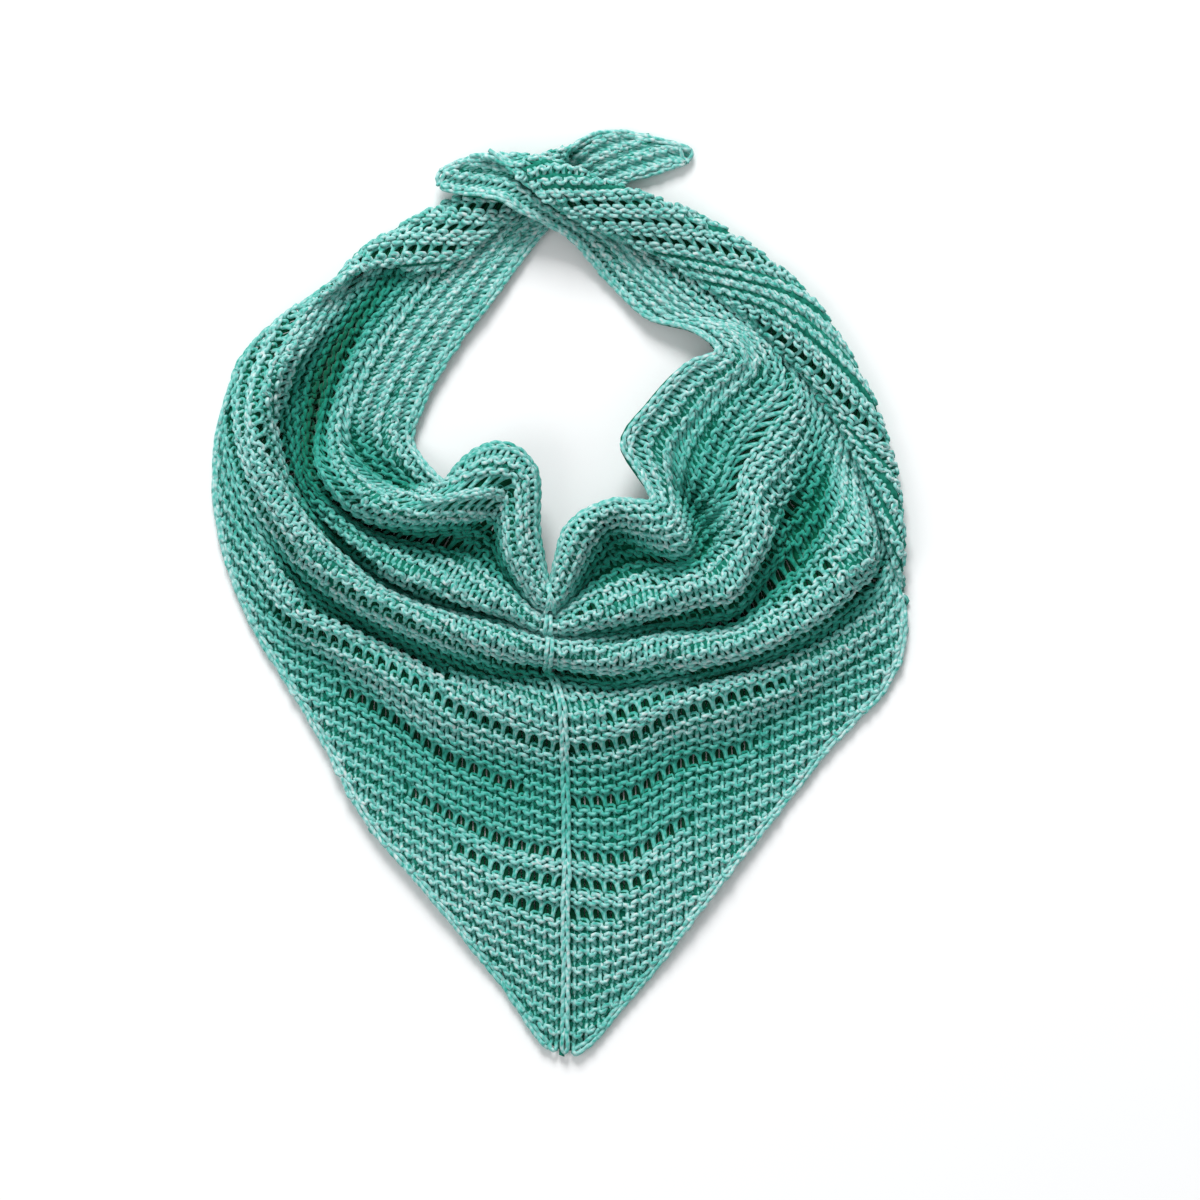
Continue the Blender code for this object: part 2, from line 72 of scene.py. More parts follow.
class Section(NamedTuple):
    """One section of the cloth, from the neck edge to the cast-off edge.

    share is the place along the neck edge, from -1 at the left tip over 0 at the spine to 1 at the right
    tip. Each other field is the point where the section crosses that fold line.
    """

    share: float
    neck: ReadPoint
    border: ReadPoint
    ruffle_top: ReadPoint
    ruffle_side: ReadPoint
    recess: ReadPoint
    ridge_a: ReadPoint
    valley_a: ReadPoint
    ridge_b: ReadPoint
    valley_b: ReadPoint
    ridge_c: ReadPoint
    panel_top: ReadPoint
    panel_middle: ReadPoint
    edge: ReadPoint


SECTIONS = (
    Section(-1.00, (684, 165, 4), (686, 164, 4), (688, 162, 4), (690, 160, 4), (691, 158, 4),
        (692, 156, 4), (692, 155, 4), (692, 153, 4), (691, 151, 4), (690, 150, 4), (689, 149, 4),
        (688, 148, 4), (686, 147, 4)),
    Section(-0.95, (650, 175, 5), (649, 172, 6), (648, 169, 7), (647, 166, 8), (646, 162, 8),
        (645, 159, 8), (643, 155, 8), (642, 151, 8), (641, 148, 7), (640, 145, 7), (639, 142, 6),
        (638, 138, 5), (637, 135, 5)),
    Section(-0.90, (612, 190, 5), (610, 187, 5), (608, 183, 5), (606, 179, 5), (604, 174, 5),
        (602, 169, 5), (600, 164, 5), (598, 159, 5), (596, 154, 5), (595, 150, 5), (594, 146, 5),
        (593, 142, 5), (592, 137, 5)),
    Section(-0.88, (601, 197, 5), (592, 190, 5), (584, 183, 5), (577, 176, 5), (572, 170, 5),
        (568, 164, 6), (566, 159, 8), (565, 156, 11), (565, 153, 14), (566, 151, 16), (567, 150, 18),
        (568, 149, 20), (569, 149, 22)),
    Section(-0.86, (590, 204, 5), (574, 197, 5), (560, 189, 5), (550, 182, 5), (543, 176, 5),
        (538, 170, 6), (536, 164, 9), (539, 159, 12), (545, 158, 15), (550, 161, 15), (554, 165, 14),
        (558, 169, 14), (561, 173, 13)),
    Section(-0.82, (562, 218, 5), (543, 212, 5), (523, 205, 5), (503, 199, 5), (485, 196, 5),
        (468, 197, 5), (455, 200, 6), (444, 206, 8), (437, 215, 14), (441, 226, 21), (448, 237, 23),
        (457, 247, 21), (468, 254, 18)),
    Section(-0.74, (528, 252, 5), (502, 249, 6), (477, 246, 6), (454, 245, 5), (432, 244, 5),
        (412, 244, 5), (393, 246, 5), (378, 248, 5), (366, 252, 7), (358, 258, 14), (362, 264, 21),
        (371, 266, 22), (382, 262, 18)),
    Section(-0.70, (512, 275, 6), (484, 268, 8), (456, 264, 8), (430, 264, 7), (408, 266, 6),
        (390, 268, 6), (371, 273, 7), (354, 278, 8), (342, 284, 12), (335, 287, 18), (336, 285, 25),
        (342, 281, 29), (350, 277, 28)),
    Section(-0.66, (495, 298, 8), (465, 290, 10), (435, 285, 10), (408, 286, 9), (385, 291, 9),
        (365, 298, 9), (346, 305, 12), (329, 311, 17), (314, 315, 23), (301, 317, 26), (291, 319, 25),
        (283, 322, 20), (276, 326, 14)),
    Section(-0.58, (450, 358, 8), (420, 352, 11), (385, 350, 12), (357, 352, 11), (338, 357, 7),
        (322, 364, 5), (304, 376, 5), (276, 378, 38), (260, 380, 34), (248, 385, 24), (238, 391, 12),
        (229, 400, 6), (223, 412, 4)),
    Section(-0.50, (421, 412, 8), (392, 408, 12), (354, 414, 12), (330, 424, 12), (316, 430, 9),
        (305, 433, 6), (291, 436, 5), (262, 440, 40), (246, 450, 28), (237, 463, 15), (229, 480, 8),
        (222, 498, 5), (217, 514, 4)),
    Section(-0.42, (416, 452, 8), (396, 450, 12), (362, 457, 8), (338, 472, 34), (322, 485, 22),
        (312, 492, 15), (299, 495, 10), (282, 500, 42), (263, 520, 24), (256, 540, 16), (251, 570, 9),
        (248, 592, 6), (247, 612, 5)),
    Section(-0.36, (452, 484, 24), (432, 488, 18), (402, 487, 12), (374, 502, 44), (362, 525, 14),
        (350, 533, 28), (337, 543, 14), (321, 555, 44), (305, 585, 12), (297, 605, 24), (291, 638, 9),
        (288, 660, 6), (286, 680, 6)),
    Section(-0.32, (458, 470, 40), (448, 484, 48), (430, 496, 54), (408, 513, 50), (402, 538, 16),
        (379, 555, 36), (367, 571, 16), (357, 585, 44), (348, 615, 12), (338, 632, 26), (330, 664, 9),
        (322, 695, 6), (314, 725, 7)),
    Section(-0.24, (497, 444, 52), (490, 462, 58), (478, 486, 60), (462, 508, 56), (450, 539, 18),
        (424, 577, 40), (416, 598, 18), (408, 612, 44), (400, 642, 12), (392, 664, 26), (384, 712, 8),
        (375, 768, 6), (365, 818, 9)),
    Section(-0.16, (534, 468, 46), (525, 474, 54), (513, 486, 50), (502, 508, 38), (488, 545, 18),
        (462, 590, 40), (458, 610, 20), (454, 627, 44), (449, 660, 14), (445, 692, 24), (440, 765, 6),
        (437, 842, 8), (434, 899, 10)),
    Section(-0.08, (538, 536, 36), (529, 541, 46), (520, 548, 52), (513, 557, 40), (508, 578, 20),
        (506, 604, 40), (504, 620, 22), (502, 640, 42), (500, 672, 14), (500, 704, 24), (500, 790, 5),
        (499, 885, 12), (498, 978, 6)),
    Section(0.00, (551, 587, 32), (551, 594, 38), (551, 601, 39), (550, 608, 33), (549, 615, 27),
        (549, 625, 35), (549, 637, 26), (550, 650, 36), (549, 672, 12), (562, 712, 22), (566, 800, 4),
        (566, 888, 10), (565, 1055, 4)),
    Section(0.08, (567, 530, 48), (575, 533, 56), (584, 540, 50), (591, 551, 28), (597, 573, 14),
        (604, 611, 40), (608, 632, 20), (612, 655, 40), (614, 684, 14), (617, 712, 24), (623, 800, 5),
        (630, 895, 12), (638, 987, 6)),
    Section(0.16, (609, 503, 48), (611, 509, 50), (614, 518, 40), (618, 532, 20), (630, 562, 14),
        (650, 600, 42), (655, 625, 18), (660, 650, 40), (665, 678, 16), (670, 700, 26), (680, 765, 6),
        (690, 840, 8), (701, 908, 10)),
    Section(0.24, (652, 500, 50), (663, 507, 54), (672, 522, 54), (681, 542, 46), (690, 563, 30),
        (700, 588, 44), (705, 624, 16), (710, 648, 40), (717, 672, 14), (726, 690, 26), (740, 745, 7),
        (751, 790, 5), (762, 831, 7)),
    Section(0.28, (638, 478, 48), (660, 486, 40), (678, 498, 18), (693, 520, 10), (706, 552, 14),
        (726, 584, 44), (738, 616, 16), (748, 641, 40), (757, 662, 12), (768, 680, 24), (782, 720, 7),
        (790, 758, 5), (795, 790, 5)),
    Section(0.32, (621, 450, 46), (655, 455, 36), (690, 472, 26), (718, 500, 26), (738, 525, 36),
        (753, 545, 42), (772, 580, 14), (790, 620, 40), (802, 643, 12), (812, 662, 20), (820, 695, 7),
        (823, 725, 5), (824, 752, 5)),
    Section(0.40, (648, 403, 38), (685, 415, 30), (715, 435, 24), (738, 462, 26), (750, 482, 34),
        (762, 500, 32), (800, 540, 10), (843, 575, 36), (858, 598, 8), (868, 618, 10), (878, 640, 6),
        (886, 660, 5), (892, 676, 4)),
    Section(0.48, (690, 362, 32), (715, 385, 28), (742, 405, 24), (765, 425, 24), (782, 440, 24),
        (798, 455, 16), (822, 480, 8), (862, 528, 28), (878, 553, 6), (887, 566, 5), (894, 577, 5),
        (899, 586, 5), (903, 597, 6)),
    Section(0.52, (715, 352, 30), (742, 362, 30), (768, 378, 22), (788, 395, 22), (800, 410, 16),
        (812, 425, 8), (828, 445, 5), (853, 478, 6), (874, 504, 5), (890, 522, 7), (900, 537, 13),
        (899, 549, 21), (889, 549, 19)),
    Section(0.56, (697, 335, 24), (732, 338, 26), (762, 350, 18), (782, 366, 9), (797, 380, 6),
        (812, 395, 5), (832, 414, 5), (852, 435, 5), (871, 452, 5), (887, 467, 8), (895, 482, 15),
        (885, 492, 22), (868, 490, 17)),
    Section(0.64, (645, 318, 12), (685, 318, 14), (722, 322, 12), (752, 332, 9), (775, 342, 6),
        (796, 352, 5), (816, 362, 5), (834, 370, 5), (851, 378, 6), (866, 391, 13), (859, 402, 20),
        (842, 405, 20), (822, 400, 12)),
    Section(0.72, (604, 277, 8), (640, 279, 10), (672, 284, 9), (700, 288, 7), (722, 290, 5),
        (742, 290, 5), (762, 288, 5), (780, 286, 5), (794, 287, 7), (804, 295, 14), (795, 306, 20),
        (776, 315, 20), (752, 326, 14)),
    Section(0.80, (568, 238, 20), (595, 238, 17), (620, 238, 13), (643, 237, 9), (662, 234, 6),
        (680, 230, 5), (695, 226, 5), (708, 225, 7), (717, 229, 14), (714, 236, 19), (704, 246, 22),
        (690, 256, 21), (674, 266, 17)),
    Section(0.88, (522, 214, 35), (540, 208, 34), (556, 203, 32), (571, 199, 29), (584, 195, 27),
        (596, 191, 26), (606, 188, 27), (614, 188, 31), (617, 192, 36), (613, 199, 40), (603, 206, 41),
        (592, 214, 41), (580, 223, 39)),
    Section(0.94, (490, 201, 37), (494, 192, 34), (499, 182, 30), (503, 174, 28), (507, 168, 28),
        (511, 163, 29), (515, 160, 32), (519, 160, 36), (522, 162, 40), (524, 166, 43), (524, 171, 45),
        (523, 177, 46), (521, 183, 46)),
    Section(0.955, (478, 199, 30), (480, 193, 28), (482, 187, 26), (484, 181, 24), (486, 175, 23),
        (488, 169, 23), (490, 164, 24), (491, 161, 26), (492, 160, 28), (493, 159, 30), (493, 158, 32),
        (493, 158, 34), (493, 158, 36)),
    Section(0.97, (465, 197, 22), (465, 194, 21), (465, 191, 21), (465, 188, 20), (465, 185, 20),
        (465, 182, 20), (465, 179, 20), (465, 176, 20), (465, 173, 20), (465, 170, 20), (465, 167, 20),
        (465, 164, 20), (466, 161, 20)),
    Section(1.00, (442, 190, 14), (440, 188, 14), (439, 185, 14), (438, 182, 14), (438, 180, 14),
        (438, 178, 14), (439, 176, 14), (440, 174, 14), (441, 173, 14), (442, 172, 14), (443, 171, 14),
        (445, 171, 14), (446, 170, 14)),
)


class Side(Enum):
    """The halves of the shawl, and the sign of their shares."""

    LEFT = -1
    RIGHT = 1


class RowKind(Enum):
    """How a row of knitting lies: up onto a ridge, down off it, or as one open, taller row."""

    RISING = "rising"
    FALLING = "falling"
    OPEN = "open"


def linear_colour(hex_colour: str) -> tuple[float, float, float, float]:
    """The linear colour of an sRGB hex value.

    Args:
        hex_colour: six hex digits after a hash sign.

    Returns:
        Red, green, blue and an alpha of 1.
    """
    parts = [int(hex_colour[i : i + 2], 16) / 255 for i in (1, 3, 5)]
    linear = [p / 12.92 if p <= 0.04045 else ((p + 0.055) / 1.055) ** 2.4 for p in parts]
    return (*linear, 1.0)


def add_node(
    tree: bpy.types.NodeTree, kind: str, inputs: dict | None = None, **settings: object
) -> bpy.types.Node:
    """Adds one node with its settings, input values and links.

    Args:
        tree: the material's node tree.
        kind: the node's type name.
        inputs: a value or an output socket for each named or numbered input.
        settings: attributes of the node.

    Returns:
        The new node.
    """
    node = tree.nodes.new(kind)
    for name, value in settings.items():
        setattr(node, name, value)
    for key, value in (inputs or {}).items():
        if isinstance(value, bpy.types.NodeSocket):
            tree.links.new(value, node.inputs[key])
        else:
            node.inputs[key].default_value = value
    return node


def with_painted_fold_shade(tree: bpy.types.NodeTree, colour: bpy.types.NodeSocket, tint: str) -> bpy.types.NodeSocket:
    """The colour with painted shade: deep in a fold it is drawn darker and greener, standing in for light
    that has passed from yarn to yarn.

    The shade tint is raised to the power of the mesh's depth, the amount of painted shade, as each further
    pass through the yarn tints the light again: no change at a depth of 0, the tint itself at 1, its square
    at 2.

    Args:
        tree: the material's node tree.
        colour: the colour out in the open.
        tint: the painted shade colour, which the colour is multiplied by where the depth is 1.

    Returns:
        The socket of the colour with its painted shade.
    """
    # Painted shade: the depth attribute darkens and greens the colour in folds.
    depth = add_node(tree, "ShaderNodeAttribute", attribute_name="depth").outputs["Fac"]
    shade_colour = add_node(tree, "ShaderNodeGamma", {"Color": linear_colour(tint), "Gamma": depth})
    mixed = add_node(tree, "ShaderNodeMix", {0: 1.0, 6: colour, 7: shade_colour.outputs[0]},
                     data_type="RGBA", blend_type="MULTIPLY")
    return mixed.outputs[2]


def smooth_curve(knots: np.ndarray, values: np.ndarray, places: np.ndarray) -> np.ndarray:
    """Values at the places on the smooth curve through the values at the knots.

    Each span is a cubic whose slope at a knot is the mean of both spans' slopes, weighted so that the
    shorter span counts more.

    Args:
        knots: increasing places of the given values.
        values: one row for each knot.
        places: where to read the curve.

    Returns:
        One row for each place.
    """
    spans = np.diff(knots)
    column = (-1,) + (1,) * (values.ndim - 1)
    slopes = np.diff(values, axis=0) / spans.reshape(column)
    turns = np.empty_like(values)
    turns[0], turns[-1] = slopes[0], slopes[-1]
    weight = (spans[1:] / (spans[:-1] + spans[1:])).reshape(column)
    turns[1:-1] = weight * slopes[:-1] + (1 - weight) * slopes[1:]
    index = np.clip(np.searchsorted(knots, places, side="right") - 1, 0, len(spans) - 1)
    span = spans[index].reshape(column)
    t = ((places - knots[index]) / spans[index]).reshape(column)
    start = (2 * t**3 - 3 * t**2 + 1) * values[index] + (t**3 - 2 * t**2 + t) * span * turns[index]
    stop = (3 * t**2 - 2 * t**3) * values[index + 1] + (t**3 - t**2) * span * turns[index + 1]
    return start + stop


def averaged(values: np.ndarray, step: float, width: float) -> np.ndarray:
    """The values averaged along their first axis with a bell curve.

    Args:
        values: one row for each section.
        step: the distance between two sections.
        width: the bell curve's width.

    Returns:
        The averaged values.
    """
    reach = int(4 * width / step)
    bell = np.exp(-0.5 * (np.arange(-reach, reach + 1) * step / width) ** 2)
    bell /= bell.sum()
    padded = np.concatenate([np.repeat(values[:1], reach, 0), values, np.repeat(values[-1:], reach, 0)])
    return sum(part * padded[i : i + len(values)] for i, part in enumerate(bell))


def unit(vectors: np.ndarray) -> np.ndarray:
    """The vectors at length 1."""
    return vectors / np.maximum(np.linalg.norm(vectors, axis=-1, keepdims=True), 1e-9)


class Patch(NamedTuple):
    """The cloth at some places: points, unit normals, and the painted shade of lying deep in a fold, 0 to
    3.
    """

    points: np.ndarray
    normals: np.ndarray
    depth: np.ndarray

    @property
    def facing(self) -> np.ndarray:
        """1 where the knitter's front side looks up, -1 where the cloth is turned over, even in between."""
        return np.clip(3 * self.normals[..., 2], -1, 1)

    def raised(self, height: np.ndarray, shade_mm: float = 3.2) -> "Patch":
        """The places moved along their normals; those that sink away from the eye get more painted shade.

        Args:
            height: how far each place moves, in millimetres.
            shade_mm: how far a place sinks to get full painted shade.

        Returns:
            The moved places.
        """
        # Painted shade: sinking away from the eye adds to the depth that darkens the colour.
        depth = np.clip(self.depth - np.minimum(height * self.facing, 0) / shade_mm, 0, 3)
        return Patch(self.points + self.normals * height[..., None], self.normals, depth)


@dataclass
class Cloth:
    """The middle surface of the cloth as a grid of stitch distance from the spine and row distance.

    Attributes:
        sections: how many sections the surface is worked out at.
        places_per_fold: points between two fold lines.
        grid_mm: spacing of the grid along and across the rows.
        lift_mm: how far the looped cloth's middle lies above the solid wall's on the table.
        fold_contrast: how much further than in the solids folds stand off the cloth's average height.
        fold_average: the bell curve's width for that average, in fold lines.
        fold_least: the share of its height that a fold always keeps.
        fold_rise: how much taller the cloth is than the solids.
        dip_mm: how far rows dip towards the lower tip where they meet the spine.
        dip_share: the share of the neck edge over which the dip dies away.
        dip_rows_mm: the row distances where the dip starts and where it is full.
        margin_mm: how far the grid runs on past the cast-off edge.
        row_average: the bell curves' widths, in shares, that even the rows out above and below the lowest
            ridge.
        arm_shares: from the first share to the second, rows go over to each section's own lengths.
        shade_hollow_mm: how far under the average height a place lies to get full painted fold shade.
        pocket_share: middle and width, in shares, of the extra painted shade behind the left outer band.
        pocket_fold: the same across the cloth, in fold lines.
        pocket_shade: how much more painted shade the pocket gets.
        grid: the surface by stitch and row distance: three coordinates in millimetres, and the painted
            shade.
        normals: the surface's unit normals there.
        stitches: the grid's distances from the spine.
        rows: the grid's distances from the neck edge.
        ends: for each half, how far each row runs from the spine.
    """

    sections: int = 1201
    places_per_fold: int = 40
    grid_mm: float = 1.5
    lift_mm: float = 1.6
    fold_contrast: float = 0.75
    fold_average: float = 0.9
    fold_least: float = 0.25
    fold_rise: float = 1.06
    dip_mm: float = 6.0
    dip_share: float = 0.09
    dip_rows_mm: tuple[float, float] = (40.0, 100.0)
    margin_mm: float = 12.0
    row_average: tuple[float, float] = (0.16, 0.04)
    arm_shares: tuple[float, float] = (0.55, 0.75)
    shade_hollow_mm: float = 7.0
    pocket_share: tuple[float, float] = (-0.55, 0.10)
    pocket_fold: tuple[float, float] = (4.35, 0.75)
    pocket_shade: float = 2.3
    grid: np.ndarray = field(init=False)
    normals: np.ndarray = field(init=False)
    stitches: np.ndarray = field(init=False)
    rows: np.ndarray = field(init=False)
    ends: dict = field(init=False)

    def __post_init__(self) -> None:
        """Works the grid out once."""
        self.build()

    def surface(self) -> tuple[np.ndarray, np.ndarray]:
        """The surface by section and place.

        Across the sections and then along each one, a smooth curve runs through the read points. Heights
        under the table level lie on the table.

        Returns:
            The points in millimetres, with the painted shade for lying deep in a fold as a fourth number,
            and how far each lies from the neck edge, counted in rows.
        """
        shares = np.linspace(-1, 1, self.sections)
        folds = len(Section._fields) - 1
        places = np.linspace(0, folds - 1, (folds - 1) * self.places_per_fold + 1)
        knots = np.array([section.share for section in SECTIONS])
        read = np.array([section[1:] for section in SECTIONS], float)
        along = smooth_curve(knots, read, shares)
        across = smooth_curve(np.arange(folds, dtype=float), along.transpose(1, 0, 2), places)
        across = across.transpose(1, 0, 2)
        points = np.empty((*across.shape[:2], 4))
        points[..., 0] = (across[..., 0] - PHOTO_CENTRE[0]) * PHOTO_PIXEL_MM
        points[..., 1] = (PHOTO_CENTRE[1] - across[..., 1]) * PHOTO_PIXEL_MM
        height = np.maximum(across[..., 2] - TABLE_LEVEL, 0)
        even = averaged(height.T, 1 / self.places_per_fold, self.fold_average).T
        height = np.maximum(height + self.fold_contrast * (height - even), self.fold_least * height)
        points[..., 2] = height * self.fold_rise * PHOTO_PIXEL_MM + WALL_MM / 2 + self.lift_mm
        # Painted shade: places under the cloth's average height get a depth of up to 1 that darkens and
        # greens their colour, and the pocket behind the left outer band gets more on top.
        points[..., 3] = np.clip((even - height) * PHOTO_PIXEL_MM / self.shade_hollow_mm, 0, 1)
        points[..., 3] += self.pocket_shade * np.outer(
            np.exp(-0.5 * ((shares - self.pocket_share[0]) / self.pocket_share[1]) ** 2),
            np.exp(-0.5 * ((places - self.pocket_fold[0]) / self.pocket_fold[1]) ** 2))
        steps = np.linalg.norm(np.diff(points[..., :3], axis=1), axis=2)
        lengths = np.concatenate([np.zeros((self.sections, 1)), np.cumsum(steps, axis=1)], axis=1)
        fold = (Section._fields.index("ridge_c") - 1) * self.places_per_fold
        over = np.minimum(lengths, lengths[:, fold : fold + 1])
        gap = shares[1] - shares[0]
        even = averaged(over, gap, self.row_average[0])
        even += averaged(lengths - over, gap, self.row_average[1])
        start, stop = self.arm_shares
        blend = np.clip((np.abs(shares) - start) / (stop - start), 0, 1)
        blend = (blend * blend * (3 - 2 * blend))[:, None]
        distances = blend * lengths + (1 - blend) * even
        dip = self.dip_mm * np.exp(-np.abs(shares) / self.dip_share)[:, None]
        from_row, full_row = self.dip_rows_mm
        return points, distances - dip * np.clip((distances - from_row) / (full_row - from_row), 0, 1)

    def build(self) -> None:
        """Reads the surface again at even distances along and across the rows.

        Each section is read at even row distances, and each row then at even lengths from the spine, so a
        stitch is as wide and as tall everywhere as the yarn makes it.
        """
        points, distances = self.surface()
        depth = distances[:, -1]
        tail = points[:, -1:] - points[:, -6:-5]
        tail *= self.margin_mm / np.linalg.norm(tail[..., :3], axis=-1, keepdims=True)
        tail[..., 3] = 0
        points = np.concatenate([points, points[:, -1:] + tail], axis=1)
        distances = np.concatenate([distances, distances[:, -1:] + self.margin_mm], axis=1)
        self.rows = np.arange(-self.grid_mm, depth.max() + self.margin_mm, self.grid_mm)
        by_row = np.empty((self.sections, len(self.rows), 4))
        for i in range(self.sections):
            for axis in range(4):
                by_row[i, :, axis] = np.interp(self.rows, distances[i], points[i, :, axis])
        steps = np.linalg.norm(np.diff(by_row[..., :3], axis=0), axis=2)
        middle = self.sections // 2
        along = np.concatenate([np.zeros((1, len(self.rows))), np.cumsum(steps, axis=0)])
        along -= along[middle]
        reach = max(-along[0].min(), along[-1].max())
        steps_out = math.ceil(reach / self.grid_mm)
        self.stitches = np.arange(-steps_out, steps_out + 1) * self.grid_mm
        self.grid = np.empty((len(self.stitches), len(self.rows), 4))
        for k in range(len(self.rows)):
            for axis in range(4):
                self.grid[:, k, axis] = np.interp(self.stitches, along[:, k], by_row[:, k, axis])
        across = np.gradient(self.grid[..., :3], axis=1)
        self.normals = unit(np.cross(np.gradient(self.grid[..., :3], axis=0), -across))
        self.ends = {side: self.row_ends(side, along, depth) for side in Side}

    def row_ends(self, side: Side, along: np.ndarray, depth: np.ndarray) -> np.ndarray:
        """How far each row of the grid runs from the spine before it meets the cast-off edge.

        Args:
            side: the half of the shawl.
            along: the length from the spine, by section and row.
            depth: the row distance of each section's cast-off edge.

        Returns:
            One length for each row of the grid.
        """
        middle = self.sections // 2
        outward = slice(middle, None) if side is Side.RIGHT else slice(middle, None, -1)
        inside = self.rows[None, :] <= depth[outward][:, None]
        last = np.where(inside.all(axis=0), inside.shape[0] - 1, np.argmin(inside, axis=0) - 1)
        lengths = np.abs(along[outward])
        return np.where(last < 0, 0, np.take_along_axis(lengths, np.maximum(last, 0)[None], axis=0)[0])

    def at(self, stitch: np.ndarray, row: np.ndarray) -> Patch:
        """The cloth at these distances from the spine and the neck edge.

        Args:
            stitch: distance along the rows, negative on the left, in millimetres.
            row: distance across the rows, in millimetres.

        Returns:
            Points, normals and painted shade depths, read between the four nearest grid points.
        """
        i = np.clip((stitch - self.stitches[0]) / self.grid_mm, 0, len(self.stitches) - 1.001)
        k = np.clip((row - self.rows[0]) / self.grid_mm, 0, len(self.rows) - 1.001)
        i0, k0 = i.astype(int), k.astype(int)
        s, t = (i - i0)[..., None], (k - k0)[..., None]

        def between(values: np.ndarray) -> np.ndarray:
            """The values read between grid points."""
            near = (1 - s) * values[i0, k0] + s * values[i0 + 1, k0]
            far = (1 - s) * values[i0, k0 + 1] + s * values[i0 + 1, k0 + 1]
            return (1 - t) * near + t * far

        places = between(self.grid)
        return Patch(places[..., :3], unit(between(self.normals)), places[..., 3])

    def end(self, side: Side, row: float) -> float:
        """Where a row of this half ends, in millimetres from the spine."""
        return float(np.interp(row, self.rows, self.ends[side]))


class Row(NamedTuple):
    """A run of stitches in one row of knitting, in millimetres across and along the cloth."""

    kind: RowKind
    start: float
    height: float
    first: int
    count: int


class OpenSpan(NamedTuple):
    """Where one repeat of rows has eyelets: its half, its number from the neck edge, and its length."""

    side: Side
    repeat: int
    start_mm: float
    stop_mm: float


OPEN_SPANS = (
    OpenSpan(Side.LEFT, 1, 30, 110),
    OpenSpan(Side.LEFT, 2, 60, 150),
    OpenSpan(Side.LEFT, 3, 50, 230),
    OpenSpan(Side.LEFT, 4, 60, 190),
    OpenSpan(Side.LEFT, 4, 270, 400),
    OpenSpan(Side.LEFT, 5, 250, 400),
    OpenSpan(Side.LEFT, 6, 10, 400),
    OpenSpan(Side.LEFT, 7, 100, 400),
    OpenSpan(Side.LEFT, 8, 200, 400),
    OpenSpan(Side.LEFT, 9, 5, 230),
    OpenSpan(Side.LEFT, 11, 60, 150),
    OpenSpan(Side.LEFT, 12, 5, 170),
    OpenSpan(Side.LEFT, 14, 20, 130),
    OpenSpan(Side.LEFT, 16, 5, 90),
    OpenSpan(Side.LEFT, 17, 5, 60),
    OpenSpan(Side.LEFT, 18, 5, 40),
    OpenSpan(Side.RIGHT, 3, 60, 230),
    OpenSpan(Side.RIGHT, 4, 5, 130),
    OpenSpan(Side.RIGHT, 4, 270, 400),
    OpenSpan(Side.RIGHT, 5, 230, 400),
    OpenSpan(Side.RIGHT, 6, 50, 160),
    OpenSpan(Side.RIGHT, 6, 230, 400),
    OpenSpan(Side.RIGHT, 7, 20, 170),
    OpenSpan(Side.RIGHT, 7, 230, 400),
    OpenSpan(Side.RIGHT, 8, 120, 400),
    OpenSpan(Side.RIGHT, 9, 5, 60),
    OpenSpan(Side.RIGHT, 9, 230, 400),
    OpenSpan(Side.RIGHT, 10, 70, 190),
    OpenSpan(Side.RIGHT, 11, 20, 100),
    OpenSpan(Side.RIGHT, 12, 5, 120),
    OpenSpan(Side.RIGHT, 14, 5, 100),
    OpenSpan(Side.RIGHT, 16, 5, 70),
    OpenSpan(Side.RIGHT, 17, 5, 50),
    OpenSpan(Side.RIGHT, 18, 5, 30),
)


